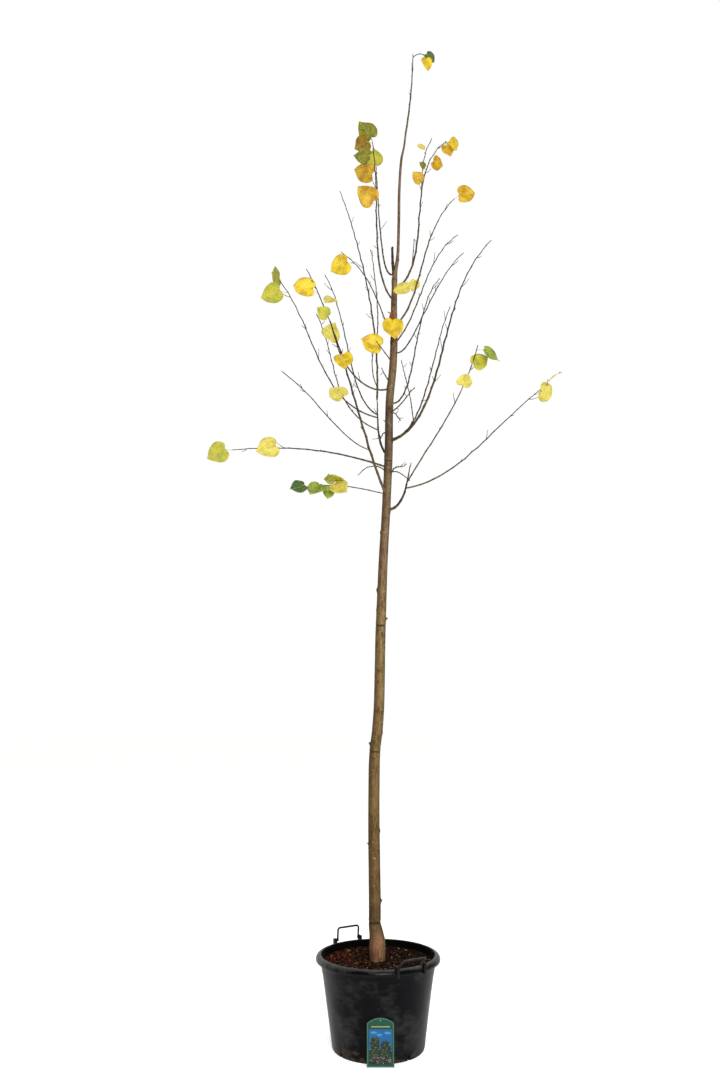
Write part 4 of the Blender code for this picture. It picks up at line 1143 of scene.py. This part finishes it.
def plastic(name, plain, dust_sheen_grey, rough, dust_sheen_low, dust_sheen_high, scuff, shine, side, soiled):
    """Moulded polypropylene: faintly grained and satin, with dust and pale scuffs.

    The grey of dust is partly painted light: faces that point to the front get the least of
    it, which paints shade on the front and sheen on the edges, faces that point up get more,
    as dust and as a painted highlight on the rim's top, and the side value lays more on the
    face that points to -X, partly dust and partly painted sheen. Wet soil has splashed on the
    foot and dried.
    """
    material, add, shader, place = start_material(name + "_polypropylene", 0.5, 1.49, shine,
                                                  Sheen_Weight=0.03, Sheen_Roughness=0.3)
    # Dust lies in clouds of 140 mm with runs of rain 30 mm apart, and scratches keep 45 mm
    # apart. The moulded grain is 1 mm, drawn a few times coarser than real, to show.
    clouds = add("TexNoise", place, Scale=7, Detail=6, Roughness=0.62)
    streaked = add("Mapping", place, Scale=(1, 1, 2.2))
    runs = add("TexNoise", streaked, Scale=34, Detail=4)
    both = add("Math", runs, 0.25, clouds, operation="MULTIPLY_ADD")
    # Painted light: the front gets less of the dust grey, as painted shade, the edges and the -X side more,
    # as painted sheen, and tops more, as dust and a painted highlight.
    facing = add("SeparateXYZ", (add("NewGeometry"), "Normal"))
    upward = add("Math", (facing, "Z"), 0.22, both, operation="MULTIPLY_ADD")
    front = add("Math", (facing, "Y"), 0, operation="MINIMUM")
    dust_and_edge_sheen = add("Math", front, 0.32, upward, operation="MULTIPLY_ADD")
    dust_and_side_sheen = add("Math", (facing, "X"), -side, dust_and_edge_sheen, operation="MULTIPLY_ADD")
    dust_and_sheen_coat = add("MixRGB", add("MapRange", dust_and_side_sheen, dust_sheen_low, dust_sheen_high), plain, dust_sheen_grey)
    tilted = add("Mapping", place, Rotation=(0.12, 0.05, 0), Scale=(1, 1, 9))
    scratches = add("TexNoise", tilted, Scale=22, Detail=8, Roughness=0.75)
    scratch = add("MapRange", scratches, 0.64, 0.7, 0, scuff)
    scuffed = add("MixRGB", scratch, dust_and_sheen_coat, "#7c7c78")
    height = add("SeparateXYZ", place)
    splash = add("Math", (height, "Z"), -SPLASH_FALL, runs, operation="MULTIPLY_ADD")
    crusted = add("MapRange", splash, 0.45, 0.56, 0, soiled)
    grains = add("TexNoise", place, Scale=900, Detail=2)
    join(shader, Base_Color=add("MixRGB", crusted, scuffed, "#3b2c20"),
         Roughness=add("MapRange", both, 0.43, 0.83, rough - 0.08, rough + 0.16),
         Normal=add("Bump", Height=grains, Strength=0.25, Distance=0.15 * MM))
    return material


# Name, plain colour and the grey of dust with painted sheen, roughness, where that grey starts
# and is full, scuffs, shine, dust and painted sheen on the -X side, and soil on the foot.
PLASTICS = (("moulded_black", "#030306", "#5a5a58", 0.38, 0.3, 1.25, 0.14, 0.07, 0.04, 0.85),
            ("handled_black", "#030305", "#63625f", 0.24, 0.42, 1.1, 0.24, 0.11, 0.12, 0),
            ("soil_stained", "#030302", "#0d0a07", 0.6, 0.525, 1.025, 0, 0.05, 0, 0),
            ("satin_black", "#060608", "#1c1a19", 0.36, 0.725, 1.175, 0.15, 0.15, 0, 0),
            ("dusty_black", "#1c1815", "#5c4f44", 0.6, 0.325, 0.775, 0.2, 0.15, 0, 0))
pot_plastic, rim_plastic, stained_plastic, bail_plastic, dusty_plastic = [plastic(*row) for row in PLASTICS]
print("plastics:", pot_plastic.name, rim_plastic.name, bail_plastic.name)


# %% Pot profile
def wall_radius(height):
    return FOOT_RADIUS + WALL_SLOPE * height


def rim_outline(grow=0):
    """Outside of the pot, from its foot over the rolled rim to the rim's inner edge."""
    bend = SLOT_HEIGHT + 0.006
    return [
        (FOOT_RADIUS - 0.002 + grow, 0), (wall_radius(0.003) + grow, 0.003),
        (wall_radius(bend) + grow, bend), (wall_radius(RIM_LOW) + grow, RIM_LOW - grow),
        (RIM_RADIUS - 0.0018 + grow, RIM_LOW - grow),
        (RIM_RADIUS + grow, RIM_LOW + 0.003), (RIM_RADIUS + grow, RIM_LOW + 0.009),
        (RIM_RADIUS - 0.003 + grow, RIM_TOP - 0.0065 + grow),
        (RIM_RADIUS - 0.009, RIM_TOP - 0.002 + grow), (RIM_RADIUS - 0.016, RIM_TOP + grow),
    ]


def rounded(outline):
    """An open outline with each inner corner cut off, twice over."""
    for _ in range(2):
        smooth = [outline[0]]
        for (a, b), (c, d) in zip(outline, outline[1:]):
            smooth += [(0.75 * a + 0.25 * c, 0.75 * b + 0.25 * d),
                       (0.25 * a + 0.75 * c, 0.25 * b + 0.75 * d)]
        outline = smooth + [outline[-1]]
    return outline


def divided(outline, longest):
    """The outline with points added so that no stretch is longer than a length."""
    result = [outline[0]]
    for (a, b), (c, d) in zip(outline, outline[1:]):
        parts = max(1, ceil(hypot(c - a, d - b) / longest))
        result += [(a + (c - a) * k / parts, b + (d - b) * k / parts) for k in range(1, parts + 1)]
    return result


print("corners of the pot's outside:", len(rim_outline()))


# %% Cutting and covering
def boolean(thing, points, faces, operation="DIFFERENCE"):
    """Cut or join a shape to a mesh object, and keep the result as its mesh."""
    cutter = mesh_object("cutter", points, faces)
    modifier = thing.modifiers.new("cut", "BOOLEAN")
    modifier.operation, modifier.solver, modifier.object = operation, "EXACT", cutter
    graph = bpy.context.evaluated_depsgraph_get()
    result = bpy.data.meshes.new_from_object(thing.evaluated_get(graph))
    thing.modifiers.clear()
    thing.data = result
    bpy.data.objects.remove(cutter, do_unlink=True)


def cover(thing, *materials):
    """Give a piece its materials, with the first on all its faces."""
    thing.data.materials.clear()
    for material in materials:
        thing.data.materials.append(material)
    thing.data.polygons.foreach_set("material_index", [0] * len(thing.data.polygons))


def box_body(low, high, matrix):
    points = [matrix @ Vector((x, y, z)) for x in (low[0], high[0])
              for y in (low[1], high[1]) for z in (low[2], high[2])]
    return points, [(0, 1, 3, 2), (4, 6, 7, 5), (0, 4, 5, 1), (2, 3, 7, 6), (0, 2, 6, 4), (1, 5, 7, 3)]


# %% Pot mesh
POT_SIDES = 144
POT_STEP = 9 * MM
WALL_UNEVEN = 0.5 * MM

inner_top = wall_radius(RIM_TOP) - WALL
corner = FLOOR + 0.004
inside = rounded([(RIM_RADIUS - 0.016, RIM_TOP), (inner_top, RIM_TOP - 0.0008),
                  (inner_top - 0.0015, RIM_TOP - 0.004), (wall_radius(RIM_LOW) - WALL, RIM_LOW),
                  (wall_radius(corner) - WALL, corner)])
profile = [(0, 0)] + divided(rounded(rim_outline()) + inside[1:], POT_STEP)
profile += [(wall_radius(FLOOR) - WALL - 0.002, FLOOR), (0, FLOOR)]
points, faces = turned(profile, POT_SIDES)
# Between its foot and its rim, the moulded wall wanders a little.
for index, point in enumerate(points):
    radius = hypot(point.x, point.y)
    if 0.03 < point.z < RIM_LOW - 0.01 and radius > 0.1:
        push = WALL_UNEVEN * noise.noise(Vector((point.x * 9, point.y * 9, point.z * 13)))
        points[index] = point + Vector((point.x, point.y, 0)) / radius * push
pot = mesh_object("nursery_pot", points, faces)
half = 0.5 * SLOT_WIDTH
for slot_number in range(SLOTS):
    turn = Matrix.Rotation(radians(SLOT_FIRST + slot_number * 360 / SLOTS), 4, "Z")
    boolean(pot, *box_body((FOOT_RADIUS - 0.012, -half, -0.01), (FOOT_RADIUS + 0.02, half, SLOT_HEIGHT),
                           turn))
cover(pot, pot_plastic, rim_plastic, stained_plastic)
# The inside is stained by soil, and the rim is rubbed by hands.
for face in pot.data.polygons:
    radius = hypot(face.center.x, face.center.y)
    if face.center.z > FLOOR and radius < wall_radius(face.center.z) - 0.7 * WALL:
        face.material_index = 2
    elif face.center.z > RIM_LOW - 0.001:
        face.material_index = 1
settle(pot, nodes=["pot"], sharp=38)

# %% [markdown]
# ## Bail handles and their clips
#
# Two bent rods with an eye at each end swing on pins that stand out of saddle clips on
# the rim. Each handle is a tube swept round two rounded corners, joined to its eyes and
# bored for the pins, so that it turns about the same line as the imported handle.

# %% Handle shapes
# Name, bearing, tilt at rest and plastic of each handle.
HANDLES = (("back", 121, 86, bail_plastic), ("front", -60.5, 140, dusty_plastic))
HANDLE_HALF = 0.049
HANDLE_REACH = 0.046
HANDLE_ROD = 0.0074
HANDLE_BEND = 0.01
HINGE_RADIUS = 0.234
HINGE_HEIGHT = 0.3425
EYE_RADIUS = 0.0055
EYE_WIDTH = 0.005
PIN_RADIUS = 0.0022
PIN_PLAY = 0.0005
CLIP_WIDTH = 0.011
CLIP_INWARD = 0.0065
CLIP_OUTWARD = 0.0125
CLIP_HOOK = 0.0025
CLIP_PLAY = 0.0018
CLIP_ROUNDING = 1.6 * MM
ROD_SIDES = 18
HINGE_SIDES = 28


def handle_frame(bearing):
    turn = Matrix.Rotation(radians(bearing), 4, "Z")
    return turn @ Matrix.Translation((HINGE_RADIUS, 0, HINGE_HEIGHT))


def hinge_cylinder(radius, start, end, matrix):
    way = Vector((0, copysign(1, end - start), 0))
    line = [Vector((0, start, 0)), Vector((0, end, 0))]
    points, faces = tube(line, [radius, radius], HINGE_SIDES, [way, way])
    return [matrix @ point for point in points], faces


print("handles:", [row[0] for row in HANDLES], "hinge line at", HINGE_HEIGHT, "m")

# %% Handles
for name, bearing, tilt, material in HANDLES:
    matrix = handle_frame(bearing) @ Matrix.Rotation(radians(tilt), 4, "Y")
    half, reach, bend = HANDLE_HALF, HANDLE_REACH, HANDLE_BEND
    # A straight arm, a rounded corner and half of the grip, then the same mirrored.
    route = [(-0.003 - (reach - bend - 0.003) * k / 6, -half) for k in range(7)]
    for step in range(1, 9):
        angle = radians(90 * step / 9)
        route.append((-(reach - bend) - bend * sin(angle), -half + bend * (1 - cos(angle))))
    route += [(-reach, (-half + bend) * (1 - k / 6)) for k in range(7)]
    line = [Vector((x, y, 0)) for x, y in route + [(x, -y) for x, y in reversed(route[:-1])]]
    points, faces = tube(line, [0.5 * HANDLE_ROD] * len(line), ROD_SIDES, courses(line))
    handle = mesh_object(name + "_bail_handle", [matrix @ point for point in points], faces)
    for radius, width, operation in ((EYE_RADIUS, 0.5 * EYE_WIDTH, "UNION"),
                                     (PIN_RADIUS + PIN_PLAY, EYE_WIDTH, "DIFFERENCE")):
        for side in (-1, 1):
            ends = side * (half - width), side * (half + width)
            boolean(handle, *hinge_cylinder(radius, *ends, matrix), operation)
    cover(handle, material)
    settle(handle, name + "_handle", ["handle_" + name], 38)

# %% Clips
inner = HANDLE_HALF + 0.5 * EYE_WIDTH + CLIP_PLAY
drop = HINGE_HEIGHT - RIM_LOW + CLIP_HOOK
under = [(0, -0.01), (FOOT_RADIUS - 0.01, -0.01)] + rim_outline(0.5 * GAP)
rim_space = turned(under + [(0, RIM_TOP + 0.5 * GAP)], POT_SIDES)
for name, bearing, _, _ in HANDLES:
    matrix = handle_frame(bearing)
    for side in (-1, 1):
        low, high = sorted((side * inner, side * (inner + CLIP_WIDTH)))
        tag = "%s_%d" % (name, 1 + (side > 0))
        clip = mesh_object("saddle_clip_" + tag, *box_body(
            (-CLIP_INWARD, low, -drop), (CLIP_OUTWARD, high, 0.005), Matrix()))
        shape = bmesh.new()
        shape.from_mesh(clip.data)
        bmesh.ops.bevel(shape, geom=shape.edges[:], offset=CLIP_ROUNDING, segments=3, profile=0.5,
                        affect="EDGES", clamp_overlap=True)
        shape.to_mesh(clip.data)
        shape.free()
        clip.data.transform(matrix)
        boolean(clip, *rim_space)
        pin_end = HANDLE_HALF - 0.5 * EYE_WIDTH - 0.001
        boolean(clip, *hinge_cylinder(PIN_RADIUS, side * (inner + 0.003), side * pin_end, matrix), "UNION")
        cover(clip, bail_plastic)
        settle(clip, nodes=["clip_" + tag], sharp=38)

# %% [markdown]
# ## Bark mulch on the soil
#
# Dark potting soil shows between chips of shredded bark. A rough disc stands for the
# soil, and a couple of thousand small slabs, each turned and tipped its own way, lie on
# it. Particles would scatter them too, but real meshes survive the export.

# %% Soil and chip finishes
SOIL_TOP = 0.306
SOIL_EDGE = 0.308
# Name, darkest and lightest colour, and roughness.
MULCH = (("peat_soil", "#0c0705", "#140c08", 0.95), ("red_bark_chip", "#4b1d11", "#6c321f", 0.85),
         ("brown_bark_chip", "#20130b", "#3e2b1b", 0.85), ("dark_bark_chip", "#0b0704", "#150e08", 0.88),
         ("weathered_bark_chip", "#3a2c20", "#56432f", 0.9), ("straw_flake", "#7d6844", "#9c865a", 0.8))
mulch_materials = []
for name, dark, light, rough in MULCH:
    # Shredded bark and peat are fibrous and dry, so they have no shine to speak of. The
    # fibres are 5 mm apart, about twice as coarse as real ones, to show.
    material, add, shader, place = start_material(name, rough, 1.4, 0.1)
    fibre = add("TexNoise", place, Scale=190, Detail=5, Roughness=0.7)
    join(shader, Base_Color=add("ValToRGB", fibre, stops=((0.35, dark), (0.65, light))),
         Normal=add("Bump", Height=fibre, Strength=0.9, Distance=1.2 * MM))
    mulch_materials.append(material)
print("mulch finishes:", len(mulch_materials))


# %% Soil disc
def soil_height(x, y):
    """Height of the soil's surface, uneven and drawn up a little round the trunk."""
    radius = hypot(x, y)
    level = SOIL_TOP + (SOIL_EDGE - SOIL_TOP) * (radius / wall_radius(SOIL_EDGE)) ** 2
    coarse = noise.noise(Vector((x * 24, y * 24, 3)))
    lumps = coarse + 0.5 * noise.noise(Vector((x * 75, y * 75, 9)))
    return level + 2.2 * MM * lumps + 4 * MM * exp(-((radius - 0.03) / 0.02) ** 2)


SOIL_SIDES = 120
SOIL_RINGS = 60
ABOVE_FLOOR = 0.25
soil_low = FLOOR + GAP
reach = wall_radius(SOIL_EDGE) - WALL - GAP
outline = [(0, soil_low), (wall_radius(soil_low) - WALL - 0.003, soil_low)]
outline += [(reach * (ring / SOIL_RINGS) ** 0.8, ABOVE_FLOOR) for ring in range(SOIL_RINGS, -1, -1)]
points, faces = turned(outline, SOIL_SIDES)
points = [Vector((point.x, point.y, soil_height(point.x, point.y) if point.z > soil_low + WALL else point.z))
          for point in points]
soil_heap = Heap()
soil_heap.put(points, faces)
soil_heap.piece("potting_soil", mulch_materials[:1], "soil_mulch", nodes=["soil"], sharp=60)

# %% Bark chips
CHIPS = 3000
CHIP_SIDES = 6
CHIP_REACH = 0.206
chip_heap = Heap()
dice = random.Random(SEED * 5)
for number in range(CHIPS):
    radius = CHIP_REACH * sqrt(dice.random())
    bearing = dice.uniform(-pi, pi)
    x, y = radius * cos(bearing), radius * sin(bearing)
    length = dice.uniform(5, 13) * MM * (1.7 if dice.random() < 0.12 else 1)
    wide, thick = length * dice.uniform(0.25, 0.6), dice.uniform(1.2, 3.4) * MM
    turn = Matrix.Rotation(dice.uniform(0, 2 * pi), 4, "Z")
    tip = Matrix.Rotation(radians(dice.gauss(0, 17)), 4, "X")
    roll = Matrix.Rotation(radians(dice.gauss(0, 12)), 4, "Y")
    lift = soil_height(x, y) + thick * dice.uniform(0.2, 1.3)
    matrix = Matrix.Translation((x, y, lift)) @ turn @ tip @ roll
    # Red chips lie mostly to the left, and pale straw lies anywhere.
    chance, redness = dice.random(), min(1, max(0, 0.34 - 2.6 * x))
    limits = (0.6 * redness, 0.34 + 0.2 * redness, 0.93, 0.986)
    kind = next((kind for kind, limit in enumerate(limits) if chance < limit), len(limits))
    # No chip reaches into the trunk's collar.
    if hypot(x + 0.0025, y) < 0.035 + 0.5 * length:
        continue
    corners = []
    for level, shrink in ((-0.5, 1), (0.5, 0.86)):
        for corner in range(CHIP_SIDES):
            angle = radians(60 * corner) + dice.uniform(-0.25, 0.25)
            size = dice.uniform(0.75, 1.1) * shrink
            corners.append(matrix @ Vector((0.5 * length * cos(angle) * size,
                                            0.5 * wide * sin(angle) * size,
                                            level * thick * dice.uniform(0.7, 1.2))))
    faces = ring_faces(2, CHIP_SIDES)
    chip_heap.put(corners, faces[-2:] + faces[:-2], kind)
chip_heap.piece("bark_chips", mulch_materials[1:], "soil_mulch", sharp=25)

# %% [markdown]
# ## Label card
#
# A nursery label is a printed plastic card with an arched head and a hole for its tie.
# Its print here is a plain garden border of loose shrubs over a bed of small flowers,
# inside a pale outline. Each printed shape is a very thin slab laid over the last one, so
# that its edge is crisp at any size.

# %% Card inks
INKS = {
    "card_green": "#03402f", "ink_outline": "#6aa58c", "ink_title": "#8a9468", "ink_sky": "#06568a",
    "ink_haze": "#3a80b4", "ink_shade": "#101f16", "ink_shrub": "#2c421c", "ink_sun": "#55672c",
    "ink_ground": "#141c18", "ink_pink": "#8a5562", "ink_pale": "#a3a19c",
}
ink_materials = []
for name, code in INKS.items():
    # Offset print on a plastic card is even and glossy, with a faint mottle of dots, drawn
    # 2 mm apart because real ones are too fine to show.
    material, add, shader, place = start_material("printed_" + name, 0.32, 1.5, 0.3)
    dots = add("TexNoise", place, Scale=420, Detail=3)
    depth = add("MapRange", dots, 0, 1, 0.72, 1.22)
    join(shader, Base_Color=add("MixRGB", 1, code, depth, blend_type="MULTIPLY"))
    ink_materials.append(material)

card = frame["nodes"]["label_card"]
if not card.data.materials:
    card.data.materials.append(None)
for index in range(len(card.data.materials)):
    card.data.materials[index] = ink_materials[0]
print("inks:", len(ink_materials))

# %% Printed shapes
CARD_WIDTH = 0.1
CARD_HEIGHT = 0.166
CARD_SHOULDER = 0.148
CARD_THICK = 0.0012
CARD_X = 0.004
CARD_FOOT = 0.0005
CARD_FRONT = -(wall_radius(CARD_HEIGHT) + GAP) - CARD_THICK
PRINT_LIFT = 0.004 * MM
ARCH_STEPS = 14

print_heap = Heap()
stamps = []


def stamp(outline, ink):
    """A printed shape in card coordinates, lying just in front of the one before it."""
    stamps.append(ink)
    levels = (CARD_FRONT - PRINT_LIFT * len(stamps), CARD_FRONT + 0.1 * MM)
    points = [(CARD_X + x, y, CARD_FOOT + z) for y in levels for x, z in outline]
    count = len(outline)
    faces = [tuple(range(count)), tuple(reversed(range(count, 2 * count)))]
    faces += [(k, count + k, count + (k + 1) % count, (k + 1) % count) for k in range(count)]
    print_heap.put(points, faces, list(INKS).index(ink))


def blob(x, z, wide, tall, count=9):
    """A rounded, slightly lumpy dab of ink."""
    lumps = [1 + dice.uniform(-0.18, 0.18) for _ in range(count)]
    return [(x + wide * lump * c, z + tall * lump * s) for lump, (c, s) in zip(lumps, circle(count))]


def arch(inset):
    """The card's outline drawn in by an inset, anticlockwise from the lower right."""
    half, rise = 0.5 * CARD_WIDTH, CARD_HEIGHT - CARD_SHOULDER
    radius = (half * half + rise * rise) / (2 * rise)
    centre = CARD_HEIGHT - radius
    half, radius = half - inset, radius - inset
    angles = [asin(half / radius) * (1 - 2 * step / ARCH_STEPS) for step in range(ARCH_STEPS + 1)]
    curve = [(radius * sin(angle), centre + radius * cos(angle)) for angle in angles]
    return [(half, inset)] + curve + [(-half, inset)]


outer, inner = arch(3.2 * MM), arch(4 * MM)
for index in range(len(outer)):
    after = (index + 1) % len(outer)
    stamp([outer[index], outer[after], inner[after], inner[index]], "ink_outline")

print("printed shapes in the outline:", len(stamps))

# %% Printed garden
# Each shrub's middle, half width, half height and number of dabs.
SHRUBS = ((-0.021, 0.072, 0.017, 0.031, 70), (0.019, 0.064, 0.019, 0.026, 70),
          (-0.002, 0.046, 0.02, 0.019, 50), (-0.03, 0.037, 0.009, 0.012, 20),
          (0.031, 0.036, 0.008, 0.011, 20))
CLOUDS = ((-0.024, 0.116, 0.012), (-0.004, 0.108, 0.01), (0.026, 0.114, 0.011))
FLOWERS = 70
left, right, bottom, top = -0.0415, 0.0415, 0.012, 0.126
ground = [(left, bottom), (right, bottom)]
dice = random.Random(SEED * 17)
stamp(ground + [(right, top), (left, top)], "ink_sky")
for x, z, wide in CLOUDS:
    stamp(blob(x, z, wide, 0.004, 16), "ink_haze")
stamp(ground + [(right, 0.052), (0, 0.058), (left, 0.056)], "ink_shade")
for x, z, wide, tall, dabs in SHRUBS:
    stamp(blob(x, z, wide, tall, 24), "ink_shade")
    for _ in range(dabs):
        turn, far = dice.uniform(0, 2 * pi), sqrt(dice.random())
        size = dice.uniform(1, 2.6) * MM
        stamp(blob(x + wide * far * cos(turn), z + tall * far * sin(turn), size, 0.8 * size),
              dice.choice(("ink_shade", "ink_shrub", "ink_shrub", "ink_sun")))
stamp(ground + [(right, 0.021), (0.01, 0.025), (-0.014, 0.02), (left, 0.024)], "ink_ground")
for number in range(FLOWERS):
    x, z = dice.uniform(left + 0.003, right - 0.003), dice.uniform(bottom + 0.002, 0.036)
    size = dice.uniform(0.6, 1.4) * MM
    stamp(blob(x, z, size, size, 6), "ink_pale" if number % 3 else "ink_pink")
half, low, high = 0.034, 0.1335, 0.1373
stamp([(-half, low), (half, low), (half, high), (-half, high)], "ink_title")
stamp(blob(0, 0.1565, 2.2 * MM, 2.2 * MM, 14), "ink_outline")
print_heap.piece("card_print", ink_materials, "card_plastic", sharp=30)
